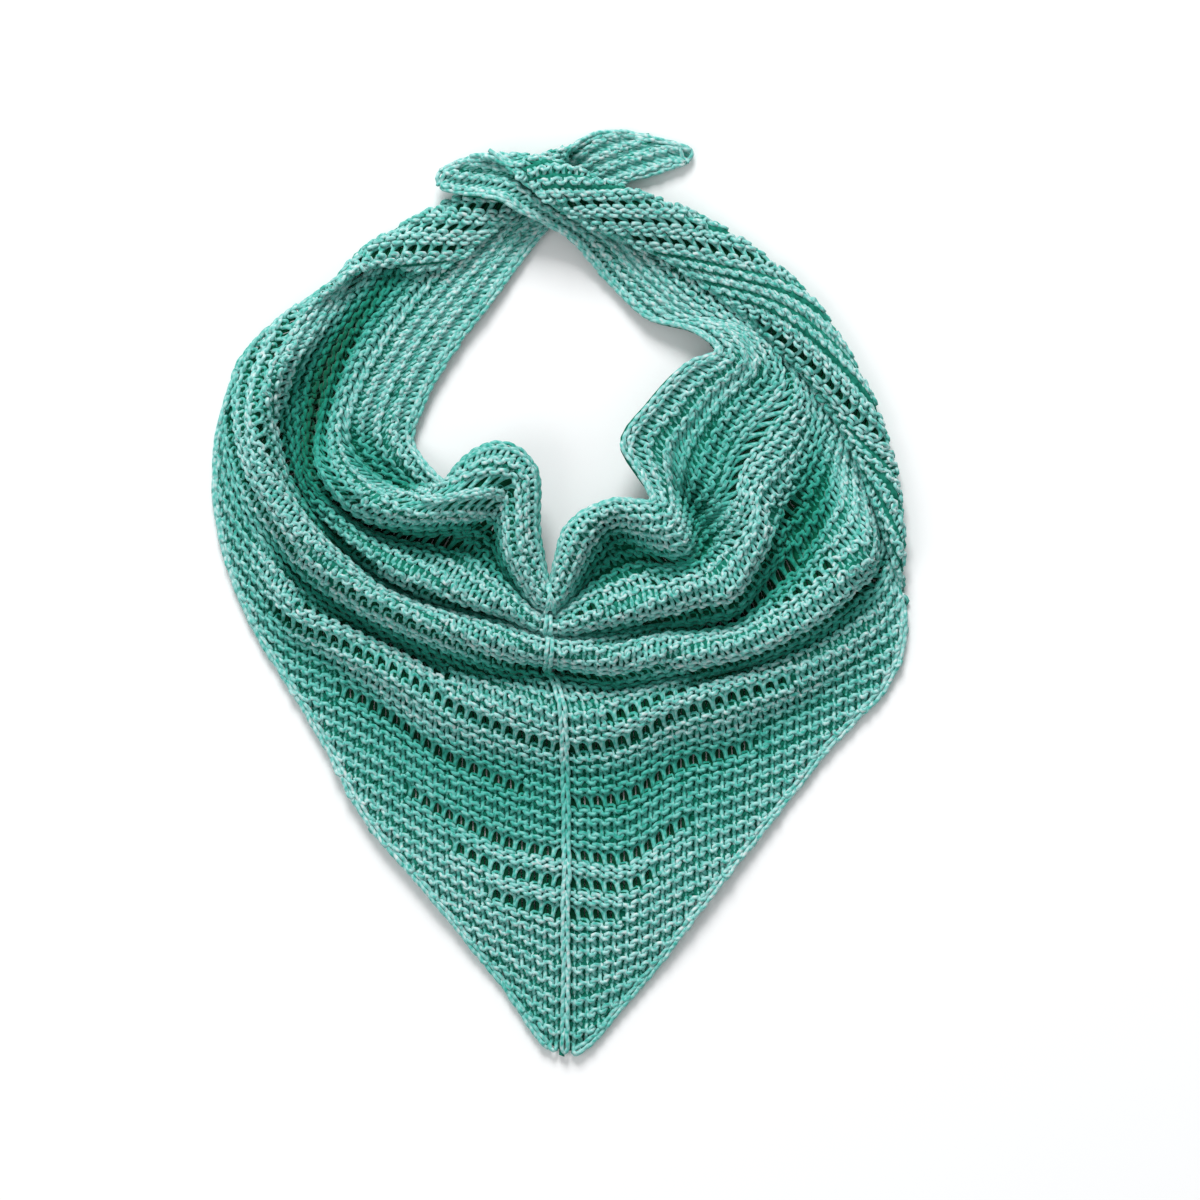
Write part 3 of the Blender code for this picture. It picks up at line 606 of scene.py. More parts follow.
@dataclass
class Gauge:
    """The knitting's gauge: the size of its stitches, and the rows of a repeat.

    A plain repeat is two ridges of two rows. Where a repeat is open, it has the same two ridges, made
    lower, and a taller row of eyelets between them.

    Attributes:
        stitch_mm: width of a stitch.
        repeat_mm: height of a repeat.
        open_row_mm: height of a row of eyelets.
        first_mm: where the first repeat starts, past the bound edge.
        ridge_mm: how far a ridge stands out of the cloth's middle, and a valley behind it.
        spine_half_mm: where a row's first stitch starts, from the middle of the spine.
        first_row_mm: rows that start nearer to the neck edge lie under its chain and are left out.
        most_stretch: how far the cloth may be drawn out across the rows where it has eyelets.
        drawn_back_mm: how far the rows beside a row of eyelets are drawn away from it.
    """

    stitch_mm: float = 6.6
    repeat_mm: float = 14.0
    open_row_mm: float = 6.4
    first_mm: float = 0.0
    ridge_mm: float = 1.9
    spine_half_mm: float = 2.7
    first_row_mm: float = 2.0
    most_stretch: float = 1.35
    drawn_back_mm: float = 0.5

    def heights(self, is_open: bool) -> list[tuple[RowKind, float, float]]:
        """The kinds, heights and shifts of a repeat's rows, in order from the neck edge."""
        rising, falling = RowKind.RISING, RowKind.FALLING
        if not is_open:
            return [(kind, self.repeat_mm / 4, 0.0) for kind in (rising, falling) * 2]
        low = (self.repeat_mm - self.open_row_mm) / 4
        near, far = self.drawn_back_mm, self.drawn_back_mm / 2
        return [(rising, low, -far), (falling, low, -near), (RowKind.OPEN, self.open_row_mm, 0.0),
                (rising, low, near), (falling, low, far)]

    def is_open(self, cloth: Cloth, side: Side, repeat: int, stitch: np.ndarray) -> np.ndarray:
        """Whether each stitch has an eyelet in this repeat.

        Args:
            cloth: the surface; where it is drawn out, the rows stay plain.
            side: the half.
            repeat: the repeat's number from the neck edge.
            stitch: the stitches' numbers from the spine.

        Returns:
            One yes or no for each stitch.
        """
        place = self.spine_half_mm + (stitch + 0.5) * self.stitch_mm
        inside = [(place >= span.start_mm) & (place < span.stop_mm)
                  for span in OPEN_SPANS if span.side is side and span.repeat == repeat]
        if not inside:
            return np.zeros(len(stitch), bool)
        row = np.full(len(stitch), self.first_mm + repeat * self.repeat_mm)
        near = cloth.at(side.value * place, row + 0.3 * self.repeat_mm).points
        far = cloth.at(side.value * place, row + 0.7 * self.repeat_mm).points
        stretch = np.linalg.norm(far - near, axis=1) / (0.4 * self.repeat_mm)
        return np.any(inside, axis=0) & (stretch < self.most_stretch)

    def runs(self, cloth: Cloth, side: Side, repeat: int) -> list[Row]:
        """The runs of stitches in one repeat of a half.

        Args:
            cloth: the surface, which says where rows end.
            side: the half.
            repeat: the repeat's number from the neck edge.

        Returns:
            The runs: an open stretch has five rows, a plain one four, and each ends at the cloth's edge.
        """
        start = self.first_mm + repeat * self.repeat_mm
        reach = max(cloth.end(side, start + i) for i in range(int(self.repeat_mm) + 1))
        stitch = np.arange(int((reach - self.spine_half_mm) / self.stitch_mm) + 1)
        is_open = self.is_open(cloth, side, repeat, stitch)
        breaks = np.flatnonzero(np.diff(is_open)) + 1
        rows = []
        for part in np.split(stitch, breaks):
            place = start
            for kind, height, shift in self.heights(bool(is_open[part[0]])):
                length = min(cloth.end(side, place), cloth.end(side, place + height)) - self.spine_half_mm
                stop = min(part[-1] + 1, int(length / self.stitch_mm + 0.5))
                if stop > part[0] and place > self.first_row_mm:
                    rows.append(Row(kind, place + shift, height, int(part[0]), int(stop - part[0])))
                place += height
        return rows


def tube(
    points: np.ndarray, normals: np.ndarray, radius: float, sides: int
) -> tuple[np.ndarray, np.ndarray]:
    """A tube along a line of points.

    Each ring stands square to the line: its first axis is the line's direction crossed with the cloth's
    normal, its second is square to both, and the ring is the circle in them.

    Args:
        points: the line, one row for each point.
        normals: the cloth's normal at each point.
        radius: the tube's radius.
        sides: points of each ring.

    Returns:
        The rings' points, and the angle of each as a share of a turn.
    """
    along = unit(np.gradient(points, axis=0))
    aside = unit(np.cross(along, normals))
    out = np.cross(aside, along)
    turn = (np.arange(sides) + 0.5) / sides
    angle = turn * math.tau - math.pi / 2
    ring = np.cos(angle)[None, :, None] * aside[:, None] + np.sin(angle)[None, :, None] * out[:, None]
    return points[:, None] + radius * ring, np.broadcast_to(turn, (len(points), sides))


@dataclass
class YarnMesh:
    """Lengths of yarn gathered into one mesh, with their place along and around the yarn as a UV map, and
    painted shade.
    """

    name: str
    sides: int = 5
    radius_mm: float = 1.1
    rings: list[np.ndarray] = field(default_factory=list)
    maps: list[np.ndarray] = field(default_factory=list)
    depths: list[np.ndarray] = field(default_factory=list)

    def add(self, line: Patch, start: float) -> None:
        """Adds one length of yarn.

        Args:
            line: its middle line.
            start: a number that shifts the yarn's colours, so that no two rows match.
        """
        points = line.points.copy()
        points[:, 2] = np.maximum(points[:, 2], self.radius_mm)
        shape, turn = tube(points, line.normals, self.radius_mm, self.sides)
        steps = np.linalg.norm(np.diff(points, axis=0), axis=1)
        along = start + np.concatenate([[0], np.cumsum(steps)])
        self.rings.append(shape)
        self.maps.append(np.stack([np.broadcast_to(along[:, None], turn.shape), turn], axis=-1))
        # Each ring keeps its line's painted shade.
        self.depths.append(np.broadcast_to(line.depth[:, None], turn.shape))

    def triangles(self) -> int:
        """How many triangles the mesh will have."""
        return sum((len(ring) - 1) * self.sides * 2 for ring in self.rings)

    def build(self, material: bpy.types.Material) -> bpy.types.Object:
        """Makes the mesh: four-sided faces between neighbouring rings, and a cap at each end of the yarn.

        Args:
            material: the yarn's finish.

        Returns:
            The new object, at the origin.
        """
        sides = self.sides
        vertices = np.concatenate([ring.reshape(-1, 3) for ring in self.rings]) * MM
        maps = np.concatenate([part.reshape(-1, 2) for part in self.maps])
        quads, caps, first = [], [], 0
        wrap = np.arange(sides)
        after = (wrap + 1) % sides
        for count in (len(ring) for ring in self.rings):
            ring = first + np.arange(count - 1)[:, None] * sides
            following = ring + sides
            around = [ring + wrap, ring + after, following + after, following + wrap]
            quads.append(np.stack(around, axis=-1))
            caps.append(first + wrap[::-1])
            caps.append(first + (count - 1) * sides + wrap)
            first += count * sides
        quads = np.concatenate([part.reshape(-1, 4) for part in quads])
        caps = np.array(caps)
        corners = np.concatenate([quads.ravel(), caps.ravel()])
        sizes = np.concatenate([np.full(len(quads), 4), np.full(len(caps), sides)])
        mesh = bpy.data.meshes.new(self.name)
        mesh.vertices.add(len(vertices))
        mesh.vertices.foreach_set("co", vertices.astype(np.float32).ravel())
        mesh.loops.add(len(corners))
        mesh.loops.foreach_set("vertex_index", corners.astype(np.int32))
        mesh.polygons.add(len(sizes))
        starts = np.concatenate([[0], np.cumsum(sizes)[:-1]])
        mesh.polygons.foreach_set("loop_start", starts.astype(np.int32))
        mesh.polygons.foreach_set("use_smooth", np.ones(len(sizes), bool))
        mesh.update(calc_edges=True)
        # The painted shade goes to the point attribute depth, which the finishes read.
        depths = np.concatenate([part.ravel() for part in self.depths])
        attribute = mesh.attributes.new("depth", "FLOAT", "POINT")
        attribute.data.foreach_set("value", depths.astype(np.float32))
        corner_maps = maps[corners]
        turns = corner_maps[: len(quads) * 4, 1].reshape(-1, 4)
        seam = (turns.max(axis=1, keepdims=True) > 0.75) & (turns.min(axis=1, keepdims=True) < 0.25)
        corner_maps[: len(quads) * 4, 1] = np.where(seam & (turns < 0.5), turns + 1, turns).ravel()
        layer = mesh.uv_layers.new(name="yarn")
        layer.data.foreach_set("uv", corner_maps.astype(np.float32).ravel())
        mesh.validate()
        mesh.materials.append(material)
        piece = bpy.data.objects.new(self.name, mesh)
        bpy.context.collection.objects.link(piece)
        return piece


@dataclass
class Stitch:
    """The shape of one stitch in a row.

    Attributes:
        points: points along the yarn for each stitch.
        lean_mm: how far a loop's sides lean in at its foot and out at its head.
        open_lean_mm: the same in a row of eyelets.
        draw_mm: how far the two sides of a loop are drawn together, which opens a gap to the next loop.
        open_draw_mm: the same in a row of eyelets.
        hook_share: how far a loop's head and foot reach past its row, as a share of the row's height.
        low_hook_share: the same in the low rows of an open repeat.
        open_hook_share: the same in a row of eyelets.
        open_sink: how far a row of eyelets sinks away from the eye, as a share of a ridge's height.
        slant_mm: how far heads are pushed one way and feet the other.
        wander_mm: unevenness of a hand-knitted loop.
    """

    points: int = 11
    lean_mm: float = 1.1
    open_lean_mm: float = 0.35
    draw_mm: float = 0.15
    open_draw_mm: float = 1.5
    hook_share: float = 0.36
    low_hook_share: float = 0.45
    open_hook_share: float = 0.08
    open_sink: float = 0.35
    slant_mm: float = 0.8
    wander_mm: float = 0.17

    def line(self, cloth: Cloth, row: Row, gauge: Gauge, side: Side, seed: int) -> Patch:
        """The middle line of a row's yarn.

        Along the row the yarn moves on evenly, plus a sine of twice the loop's angle, which makes heads and
        feet round, plus a sine of it, which draws its sides together. Across the row it swings with the
        loop's cosine, and it rises onto the ridge or falls off it with the same cosine. An open row lies
        low.

        Args:
            cloth: the surface that the row follows.
            row: the run of stitches.
            gauge: the stitch sizes.
            side: the half of the shawl.
            seed: makes this row's unevenness its own.

        Returns:
            The yarn's middle line.
        """
        loop = row.first + np.arange(row.count * self.points + 1) / self.points
        angle = loop * math.tau
        random = np.random.default_rng(seed)
        knots = row.first + np.arange(row.count * 2 + 3) / 2
        wander = [np.interp(loop, knots, random.normal(0, self.wander_mm, len(knots))) for _ in range(3)]
        is_open = row.kind is RowKind.OPEN
        lean, draw, hook = ((self.open_lean_mm, self.open_draw_mm, self.open_hook_share) if is_open
                            else (self.lean_mm, self.draw_mm, self.hook_share))
        if not is_open and row.height < gauge.repeat_mm / 4:
            hook = self.low_hook_share
        stitch = gauge.spine_half_mm + loop * gauge.stitch_mm
        stitch += lean * np.sin(2 * angle) + draw * np.sin(angle)
        stitch += wander[0] - self.slant_mm * np.cos(angle)
        across = row.start + row.height / 2 - (0.5 + hook) * row.height * np.cos(angle) + wander[1]
        patch = cloth.at(side.value * stitch, across)
        rise = {
            RowKind.RISING: -np.cos(angle),
            RowKind.FALLING: np.cos(angle),
            RowKind.OPEN: -self.open_sink * patch.facing,
        }
        return patch.raised(gauge.ridge_mm * rise[row.kind] + wander[2])


@dataclass
class HalfPanel:
    """One half of the shawl: its rows of yarn, and the ground behind them.

    Attributes:
        side: which half.
        cloth: the surface.
        gauge: the stitch sizes.
        most_triangles: how many triangles one yarn mesh may have.
        ground_mm: thickness of the ground.
        valley_mm: how far the ground follows each ridge and valley out of the cloth's middle.
        hole_share: width of a slit in the ground at an eyelet, as a share of a stitch.
        first_cut: the first repeat from the neck edge that has slits; nearer ones stay closed, with painted
            shade inside.
        eyelet_shade: how much more painted shade the ground gets at eyelets.
        eyelet_sink: how far it sinks there, as a share of valley_mm.
        beside_spine_mm: where the ground starts, from the middle of the spine.
        table_gap_mm: the least height of its middle over the table.
        edge_inset_mm: how far it stays behind the cast-off edge.
        row_inset_mm: how much of a row of eyelets it closes at the row's head and foot.
        least_row_mm: shorter rows, at the lower tip, have no ground.
    """

    side: Side
    cloth: Cloth
    gauge: Gauge
    most_triangles: int = 190000
    ground_mm: float = 0.5
    valley_mm: float = 1.0
    hole_share: float = 0.12
    first_cut: int = 3
    eyelet_shade: float = 1.5
    eyelet_sink: float = 1.4
    beside_spine_mm: float = 0.3
    table_gap_mm: float = 0.6
    edge_inset_mm: float = 1.0
    row_inset_mm: float = 0.4
    least_row_mm: float = 4.0

    @property
    def name(self) -> str:
        """The half's name, which starts its pieces' names."""
        return self.side.name.lower()

    @property
    def repeats(self) -> range:
        """The numbers of the repeats from the neck edge to the lower tip."""
        return range(int(self.cloth.rows[-1] / self.gauge.repeat_mm) + 1)

    def yarn(self, material: bpy.types.Material) -> list[bpy.types.Object]:
        """The rows of yarn, in as many meshes as their size asks for.

        Args:
            material: the yarn's finish.

        Returns:
            The new objects, from the neck to the lower tip.
        """
        shape = Stitch()
        meshes = [YarnMesh(f"{self.name}_yarn_0")]
        seed = self.side.value + 1
        for repeat in self.repeats:
            for row in self.gauge.runs(self.cloth, self.side, repeat):
                seed += 2
                patch = shape.line(self.cloth, row, self.gauge, self.side, seed)
                if meshes[-1].triangles() + len(patch.points) * 10 > self.most_triangles:
                    meshes.append(YarnMesh(f"{self.name}_yarn_{len(meshes)}"))
                meshes[-1].add(patch, start=seed * 97.7)
        return [mesh.build(material) for mesh in meshes]

    def ground(self, material: bpy.types.Material) -> bpy.types.Object:
        """The thin ground between the loops.

        It is a grid of half stitches by row ends that rises over each ridge behind the yarn. At eyelets it
        sinks behind the yarn and gets more painted shade, darker and greener, and the narrow cells between
        two stitches are left out.

        Args:
            material: the ground's finish.

        Returns:
            The new object, at the origin.
        """
        gauge = self.gauge
        side = gauge.stitch_mm * self.hole_share / 2
        low = (gauge.repeat_mm - gauge.open_row_mm) / 4
        head = 2 * low + self.row_inset_mm
        within = np.array([0, low, head, gauge.repeat_mm - head, gauge.repeat_mm - low])
        lifts = np.array([-1, 1, -1, -1, 1])
        rows = (np.array(self.repeats)[:, None] * gauge.repeat_mm + within + gauge.first_mm).ravel()
        lifts = np.tile(lifts, len(self.repeats))
        columns = int(max(self.cloth.ends[self.side]) / gauge.stitch_mm) + 2
        stitch = (np.arange(columns)[:, None] * gauge.stitch_mm + np.array([-side, side])).ravel()
        stitch += gauge.spine_half_mm
        stitch[0] = self.beside_spine_mm
        across, along = np.meshgrid(rows, self.side.value * stitch)
        patch = self.cloth.at(along, across)
        number = np.arange(columns)
        lift = np.tile(lifts.astype(float), (len(stitch), 1))
        shade = np.zeros(lift.shape)
        is_hole = np.zeros((len(stitch) - 1, len(rows) - 1), bool)
        for repeat in self.repeats:
            eyelets = gauge.is_open(self.cloth, self.side, repeat, number)
            open_row = slice(repeat * 5 + 2, repeat * 5 + 4)
            beside = np.repeat(eyelets, 2)
            lift[beside, open_row] = -self.eyelet_sink * patch.facing[beside, open_row]
            # Painted shade at eyelets: the ground there is drawn darker and greener.
            shade[beside, open_row] = self.eyelet_shade
            is_hole[::2, repeat * 5 + 2] = eyelets & np.roll(eyelets, 1) & (repeat >= self.first_cut)
        patch = patch.raised(lift * self.valley_mm)
        # The cloth's painted fold shade adds to it.
        shade += patch.depth
        points = patch.points.copy()
        points[..., 2] = np.maximum(points[..., 2], self.table_gap_mm)
        ends = np.interp(rows, self.cloth.rows, self.cloth.ends[self.side])
        inside = stitch[:, None] <= ends[None, :] - self.edge_inset_mm
        inside &= (rows[None, :] >= 0) & (ends[None, :] > self.least_row_mm)
        cells = inside[:-1, :-1] & inside[1:, :-1] & inside[:-1, 1:] & inside[1:, 1:]
        column, row = np.nonzero(cells & ~is_hole)
        wide = points.shape[1]
        corner = column * wide + row
        faces = np.stack([corner, corner + wide, corner + wide + 1, corner + 1], axis=1)
        if self.side is Side.RIGHT:
            faces = faces[:, ::-1]
        used, faces = np.unique(faces, return_inverse=True)
        mesh = bpy.data.meshes.new(f"{self.name}_ground")
        mesh.from_pydata((points.reshape(-1, 3)[used] * MM).tolist(), [], faces.reshape(-1, 4).tolist())
        mesh.shade_smooth()
        # The painted shade goes to the point attribute depth.
        attribute = mesh.attributes.new("depth", "FLOAT", "POINT")
        attribute.data.foreach_set("value", shade.ravel()[used].astype(np.float32))
        mesh.materials.append(material)
        piece = bpy.data.objects.new(mesh.name, mesh)
        bpy.context.collection.objects.link(piece)
        wall = piece.modifiers.new("wall", "SOLIDIFY")
        wall.thickness = self.ground_mm * MM
        wall.offset = 0
        return piece


class Route(NamedTuple):
    """A line on the cloth: its stitch and row distances at even lengths, one millimetre apart."""

    stitch: np.ndarray
    row: np.ndarray


def even_route(cloth: Cloth, stitch: np.ndarray, row: np.ndarray) -> Route:
    """The line through these places, read again at every millimetre of its length on the cloth."""
    points = cloth.at(stitch, row).points
    length = np.concatenate([[0], np.cumsum(np.linalg.norm(np.diff(points, axis=0), axis=1))])
    even = np.arange(0, length[-1], 1.0)
    return Route(np.interp(even, length, stitch), np.interp(even, length, row))


@dataclass
class Chain:
    """A chain of loops along a line on the cloth, each drawn through the one before.

    Each link runs from its foot to its head and back. Its foot is narrow and lies low, its sides come up,
    and its head is wide and goes down again, under the foot of the next link's sides.

    Attributes:
        link_mm: distance between two links.
        reach_mm: length of a link.
        width_mm: width of its head.
        foot: width of its foot, as a share of the head's.
        arch_mm: how far the sides stand up between foot and head.
        rise_mm: height of the chain's middle over the cloth's.
        wander_mm: how far the chain strays from its line.
        points: points along the yarn for each link.
    """

    link_mm: float = 6.6
    reach_mm: float = 10.0
    width_mm: float = 4.8
    foot: float = 0.5
    arch_mm: float = 0.7
    rise_mm: float = 1.2
    wander_mm: float = 0.25
    points: int = 14

    def build(
        self, name: str, cloth: Cloth, route: Route, material: bpy.types.Material
    ) -> bpy.types.Object:
        """Lays the chain along the line.

        Args:
            name: the new object's name.
            cloth: the surface.
            route: the line.
            material: the yarn's finish.

        Returns:
            The new object.
        """
        random = np.random.default_rng(len(name))
        mesh = YarnMesh(name, sides=6)
        places = np.arange(len(route.stitch))
        turn = unit(np.stack([np.gradient(route.stitch), np.gradient(route.row)], axis=1))
        angle = np.linspace(0, math.tau, self.points + 1)
        head = (1 - np.cos(angle)) / 2
        links = round((len(places) - self.reach_mm) / self.link_mm) + 1
        starts = np.linspace(0, len(places) - 1 - self.reach_mm, links)
        for number, start in enumerate(starts):
            along = start + self.reach_mm * head
            aside = self.width_mm / 2 * np.sin(angle) * (self.foot + (1 - self.foot) * head)
            aside += random.normal(0, self.wander_mm)
            height = self.rise_mm - self.arch_mm * np.cos(2 * angle) + random.normal(0, self.wander_mm / 2)
            stitch = np.interp(along, places, route.stitch) - aside * np.interp(along, places, turn[:, 1])
            row = np.interp(along, places, route.row) + aside * np.interp(along, places, turn[:, 0])
            mesh.add(cloth.at(stitch, row).raised(height), start=number * 53.0)
        return mesh.build(material)


@dataclass
class Trims:
    """The chains: down the spine, along the bound neck edge, and along the cast-off edge.

    Attributes:
        cloth: the surface.
        spine: the chain down the spine.
        neck: the chain along a half's neck edge.
        cast_off: the chain along a half's cast-off edge.
        neck_inset_mm: how far the neck's chain lies behind the edge.
        edge_inset_mm: how far the cast-off chain lies behind the edge.
        tip_gap_mm: how near the cast-off chain comes to the spine at the lower tip.
    """

    cloth: Cloth
    spine: Chain = field(default_factory=lambda: Chain(7.6, 12.0, 4.4, foot=0.25, rise_mm=2.8))
    neck: Chain = field(default_factory=lambda: Chain(6.0, 9.6, 4.6, rise_mm=0.9))
    cast_off: Chain = field(default_factory=lambda: Chain(6.4, 9.6, 4.0, rise_mm=0.6))
    neck_inset_mm: float = 2.2
    edge_inset_mm: float = 1.2
    tip_gap_mm: float = 0.8

    def centre_spine(self, material: bpy.types.Material) -> bpy.types.Object:
        """The raised chain from the notch to the lower tip."""
        depth = self.cloth.rows[-1] - self.cloth.margin_mm
        row = np.linspace(1.0, depth - 1.0, 400)
        return self.spine.build("spine_chain", self.cloth, even_route(self.cloth, 0 * row, row), material)

    def neck_border(self, side: Side, material: bpy.types.Material) -> bpy.types.Object:
        """The chain along one half's neck edge, from the notch to the tip."""
        length = self.cloth.end(side, self.neck_inset_mm)
        stitch = side.value * np.linspace(1.0, length, 500)
        route = even_route(self.cloth, stitch, 0 * stitch + self.neck_inset_mm)
        return self.neck.build(f"{side.name.lower()}_neck_chain", self.cloth, route, material)

    def cast_off_edge(self, side: Side, material: bpy.types.Material) -> bpy.types.Object:
        """The chain along one half's cast-off edge, from the tip to the lower tip."""
        depth = self.cloth.rows[-1] - self.cloth.margin_mm
        row = np.linspace(3.0, depth - 0.2, 900)
        stitch = np.interp(row, self.cloth.rows, self.cloth.ends[side]) - self.edge_inset_mm
        route = even_route(self.cloth, side.value * np.maximum(stitch, self.tip_gap_mm), row)
        return self.cast_off.build(f"{side.name.lower()}_edge_chain", self.cloth, route, material)


@dataclass(frozen=True)
class YarnFinish:
    """Two-ply cotton yarn, spun from mint, sea-green and grey fibres: matt and mottled, with a twist and
    painted fold shade.
    """

    name: str = "twisted_cotton_yarn"
    mint: str = "#99CCC9"
    sea_green: str = "#6ABAB2"
    deep_green: str = "#38A496"
    grey: str = "#C9D8D7"
    # Painted shade: what the yarn's colour is multiplied by deep in a fold.
    fold_shade_tint: str = "#4ABBA8"
    roughness: float = 0.85
    twist_mm: float = 3.4
    mottle_mm: float = 5.0

    def material(self) -> bpy.types.Material:
        """The finish as nodes on the yarn's own map: u is millimetres along it, v is turns around it."""
        material = bpy.data.materials.new(self.name)
        material.use_nodes = True
        tree = material.node_tree
        shader = tree.nodes["Principled BSDF"]
        place = add_node(tree, "ShaderNodeUVMap", uv_map="yarn").outputs["UV"]
        split = add_node(tree, "ShaderNodeSeparateXYZ", {0: place})
        # The two plies wind around each other: slanting stripes with a turn every few millimetres.
        turned = add_node(tree, "ShaderNodeMath", {0: split.outputs["X"], 1: self.twist_mm},
                          operation="DIVIDE")
        ply = add_node(tree, "ShaderNodeMath", {0: turned.outputs[0], 1: split.outputs["Y"]},
                       operation="ADD")
        turns = add_node(tree, "ShaderNodeMath", {0: ply.outputs[0], 1: math.tau}, operation="MULTIPLY")
        wave = add_node(tree, "ShaderNodeMath", {0: turns.outputs[0]}, operation="SINE")
        # Short streaks along the yarn, where fibres of one colour lie together.
        spread = add_node(tree, "ShaderNodeVectorMath",
                          {0: place, 1: (1 / self.mottle_mm, 2.6, 1.0)}, operation="MULTIPLY")
        mottle = add_node(tree, "ShaderNodeTexNoise",
                          {"Vector": spread.outputs[0], "Scale": 1.0, "Detail": 3.0, "Roughness": 0.65})
        mixed = add_node(tree, "ShaderNodeMath", {0: wave.outputs[0], 1: 0.07, 2: mottle.outputs[0]},
                         operation="MULTIPLY_ADD")
        ramp = add_node(tree, "ShaderNodeValToRGB", {"Fac": mixed.outputs[0]})
        stops = ramp.color_ramp.elements
        stops[0].position, stops[0].color = 0.30, linear_colour(self.deep_green)
        stops[1].position, stops[1].color = 0.70, linear_colour(self.grey)
        for position, colour in ((0.42, self.sea_green), (0.56, self.mint)):
            stop = stops.new(position)
            stop.color = linear_colour(colour)
        # Painted shade: deep in the folds the yarn is drawn greener and darker.
        shaded = with_painted_fold_shade(tree, ramp.outputs["Color"], self.fold_shade_tint)
        tree.links.new(shaded, shader.inputs["Base Color"])
        shader.inputs["Roughness"].default_value = self.roughness
        # A faint pale rim, as from loose fibres, and hardly any gloss.
        shader.inputs["Sheen Weight"].default_value = 0.15
        shader.inputs["Sheen Roughness"].default_value = 0.5
        shader.inputs["Specular IOR Level"].default_value = 0.12
        # Grooves between the plies, and fine fibres on them.
        fibre = add_node(tree, "ShaderNodeTexNoise",
                         {"Vector": spread.outputs[0], "Scale": 6.0, "Detail": 2.0})
        height = add_node(tree, "ShaderNodeMath", {0: wave.outputs[0], 1: 0.5, 2: fibre.outputs[0]},
                          operation="MULTIPLY_ADD")
        bump = add_node(tree, "ShaderNodeBump",
                        {"Height": height.outputs[0], "Strength": 0.5, "Distance": 0.0003})
        tree.links.new(bump.outputs[0], shader.inputs["Normal"])
        return material


@dataclass(frozen=True)
class GroundFinish:
    """The inside of the knit, seen between loops: the same yarn with painted shade, darker and deeper
    green.
    """

    name: str = "shaded_cotton_yarn"
    # Painted shade: both colours are the yarn drawn dark, as in the shade inside the knit.
    deep: str = "#0C6050"
    lighter: str = "#2A8A77"
    # Painted shade: what the ground's colour is multiplied by deep in a fold.
    fold_shade_tint: str = "#4ABBA8"

    def material(self) -> bpy.types.Material:
        """The finish as nodes on Object coordinates."""
        material = bpy.data.materials.new(self.name)
        material.use_nodes = True
        tree = material.node_tree
        shader = tree.nodes["Principled BSDF"]
        place = add_node(tree, "ShaderNodeTexCoord").outputs["Object"]
        # Blotches about as wide as a yarn, so that the small gaps between loops aren't one even colour.
        noise = add_node(tree, "ShaderNodeTexNoise", {"Vector": place, "Scale": 420.0, "Detail": 2.0})
        ramp = add_node(tree, "ShaderNodeValToRGB", {"Fac": noise.outputs[0]})
        ramp.color_ramp.elements[0].position = 0.35
        ramp.color_ramp.elements[0].color = linear_colour(self.deep)
        ramp.color_ramp.elements[1].position = 0.7
        ramp.color_ramp.elements[1].color = linear_colour(self.lighter)
        # Painted fold shade on top, as on the yarn.
        tree.links.new(with_painted_fold_shade(tree, ramp.outputs["Color"], self.fold_shade_tint), shader.inputs["Base Color"])
        shader.inputs["Roughness"].default_value = 0.95
        shader.inputs["Specular IOR Level"].default_value = 0.1
        bump = add_node(tree, "ShaderNodeBump",
                        {"Height": noise.outputs[0], "Strength": 0.4, "Distance": 0.0004})
        tree.links.new(bump.outputs[0], shader.inputs["Normal"])
        return material


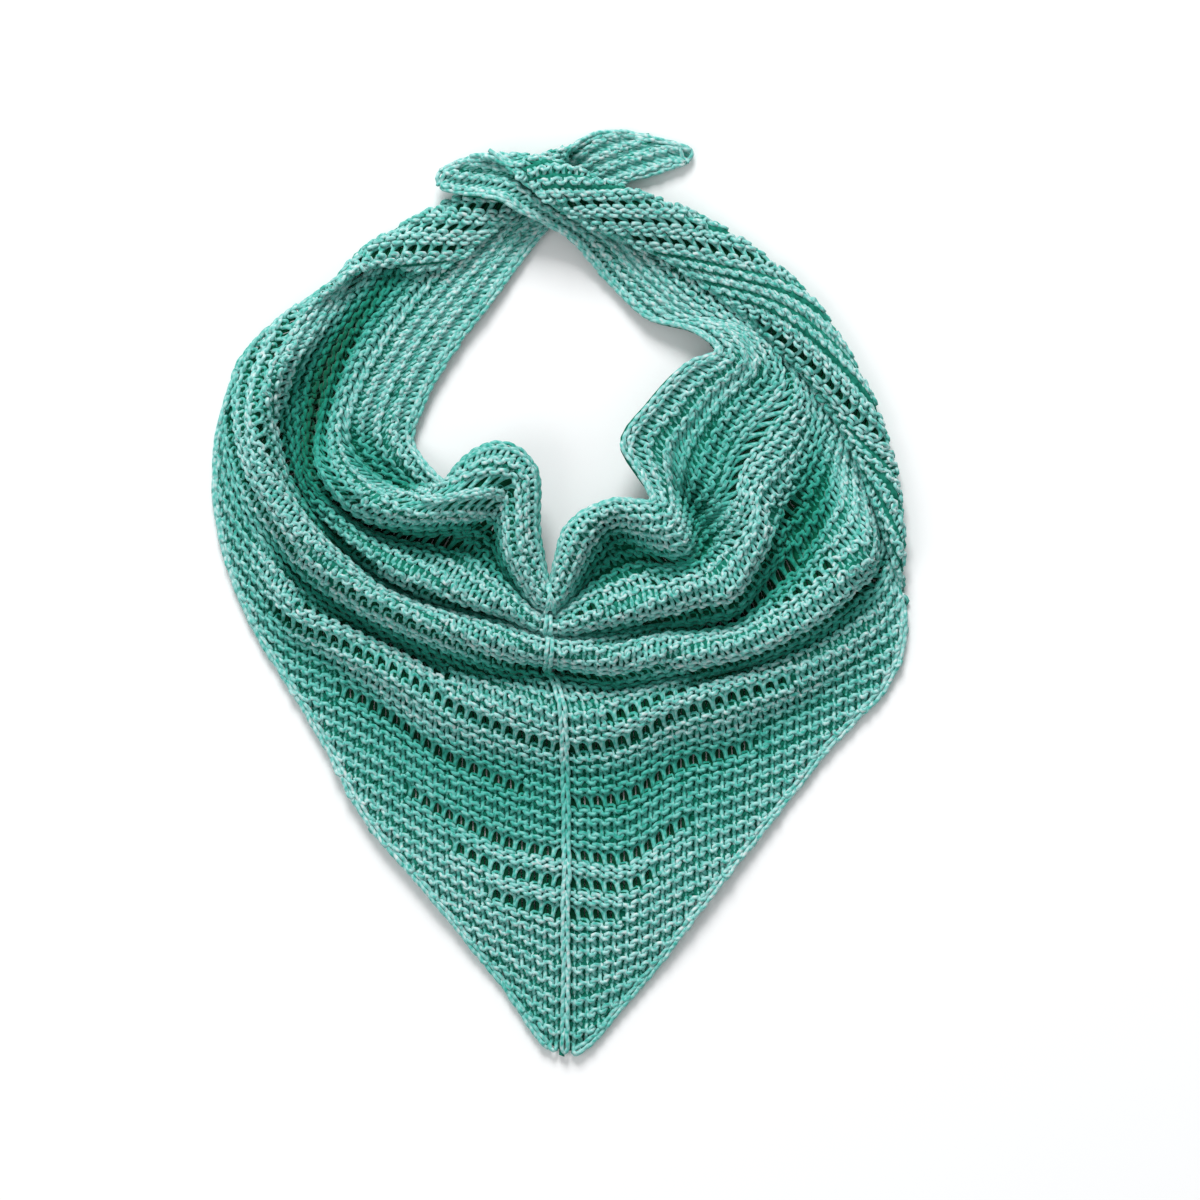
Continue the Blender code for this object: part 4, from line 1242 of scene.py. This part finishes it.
@dataclass
class Studio:
    """The white table, the soft light and the camera straight above.

    Attributes:
        table_size_m: width of the table top.
        lens_mm: the camera's lens, long because the photograph shows no perspective.
        sensor_mm: width of the camera's sensor.
        room_light: strength of the pale surroundings.
        table_white: colour of the table top.
    """

    table_size_m: float = 4.0
    lens_mm: float = 200.0
    sensor_mm: float = 36.0
    room_light: float = 0.47
    table_white: str = "#F4F5F6"

    def table(self) -> bpy.types.Object:
        """The plain white table top."""
        mesh = bpy.data.meshes.new("table_top")
        half = self.table_size_m / 2
        corners = [(-half, -half, 0), (half, -half, 0), (half, half, 0), (-half, half, 0)]
        mesh.from_pydata(corners, [], [(0, 1, 2, 3)])
        table = bpy.data.objects.new("table_top", mesh)
        bpy.context.collection.objects.link(table)
        material = bpy.data.materials.new("white_laminate")
        material.use_nodes = True
        shader = material.node_tree.nodes["Principled BSDF"]
        shader.inputs["Base Color"].default_value = linear_colour(self.table_white)
        shader.inputs["Roughness"].default_value = 0.7
        mesh.materials.append(material)
        return table

    def lights(self) -> None:
        """A wide soft box from the picture's top, a weaker one from the left, and pale surroundings."""
        for name, power, size, place in (
            ("top_box", 275.0, 2.0, (-0.5, 4.2, 3.2)),
            ("side_box", 50.0, 3.0, (-3.2, -1.2, 3.6)),
        ):
            light = bpy.data.lights.new(name, "AREA")
            light.energy = power
            light.size = size
            lamp = bpy.data.objects.new(name, light)
            lamp.location = place
            lamp.rotation_euler = (Vector((0, 0, 0)) - Vector(place)).to_track_quat("-Z", "Y").to_euler()
            bpy.context.collection.objects.link(lamp)
        world = bpy.data.worlds.new("pale_room")
        world.use_nodes = True
        background = world.node_tree.nodes["Background"]
        background.inputs["Color"].default_value = linear_colour("#FFFFFF")
        background.inputs["Strength"].default_value = self.room_light
        bpy.context.scene.world = world

    def camera(self) -> None:
        """The camera straight above, as far away as makes the photograph's frame fit at table height.

        The view shows plain colours, so the white table stays white and the greens stay as mixed.
        """
        width = FRAME_PIXELS * PHOTO_PIXEL_MM * MM
        data = bpy.data.cameras.new("overhead_camera")
        data.lens = self.lens_mm
        data.sensor_width = self.sensor_mm
        camera = bpy.data.objects.new("overhead_camera", data)
        centre = FRAME_PIXELS / 2
        x = (centre - PHOTO_CENTRE[0]) * PHOTO_PIXEL_MM * MM
        y = (PHOTO_CENTRE[1] - centre) * PHOTO_PIXEL_MM * MM
        camera.location = (x, y, width * self.lens_mm / self.sensor_mm)
        data.clip_end = 50
        bpy.context.collection.objects.link(camera)
        bpy.context.scene.camera = camera
        bpy.context.scene.view_settings.view_transform = "Standard"


def main() -> None:
    """Builds the shawl on its frame."""
    logging.basicConfig(level=logging.INFO, format="%(message)s")
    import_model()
    cloth = Cloth()
    gauge = Gauge()
    yarn = YarnFinish().material()
    ground = GroundFinish().material()
    trims = Trims(cloth)
    spine = trims.centre_spine(yarn)
    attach(spine, "root")
    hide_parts("centre_spine")
    pieces = [spine]
    for side in Side:
        panel = HalfPanel(side, cloth, gauge)
        base = panel.ground(ground)
        rows = panel.yarn(yarn)
        rows.append(trims.cast_off_edge(side, yarn))
        border = trims.neck_border(side, yarn)
        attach(base, "root")
        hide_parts(f"{panel.name}_half")
        for piece in rows:
            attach(piece, "root")
        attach(border, "root")
        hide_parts(f"{panel.name}_neck_border")
        pieces += [base, *rows, border]
    for piece in pieces:
        LOG.info("%s: %d faces", piece.name, len(piece.data.polygons))
    studio = Studio()
    studio.table()
    studio.lights()
    studio.camera()


if __name__ == "__main__":
    main()
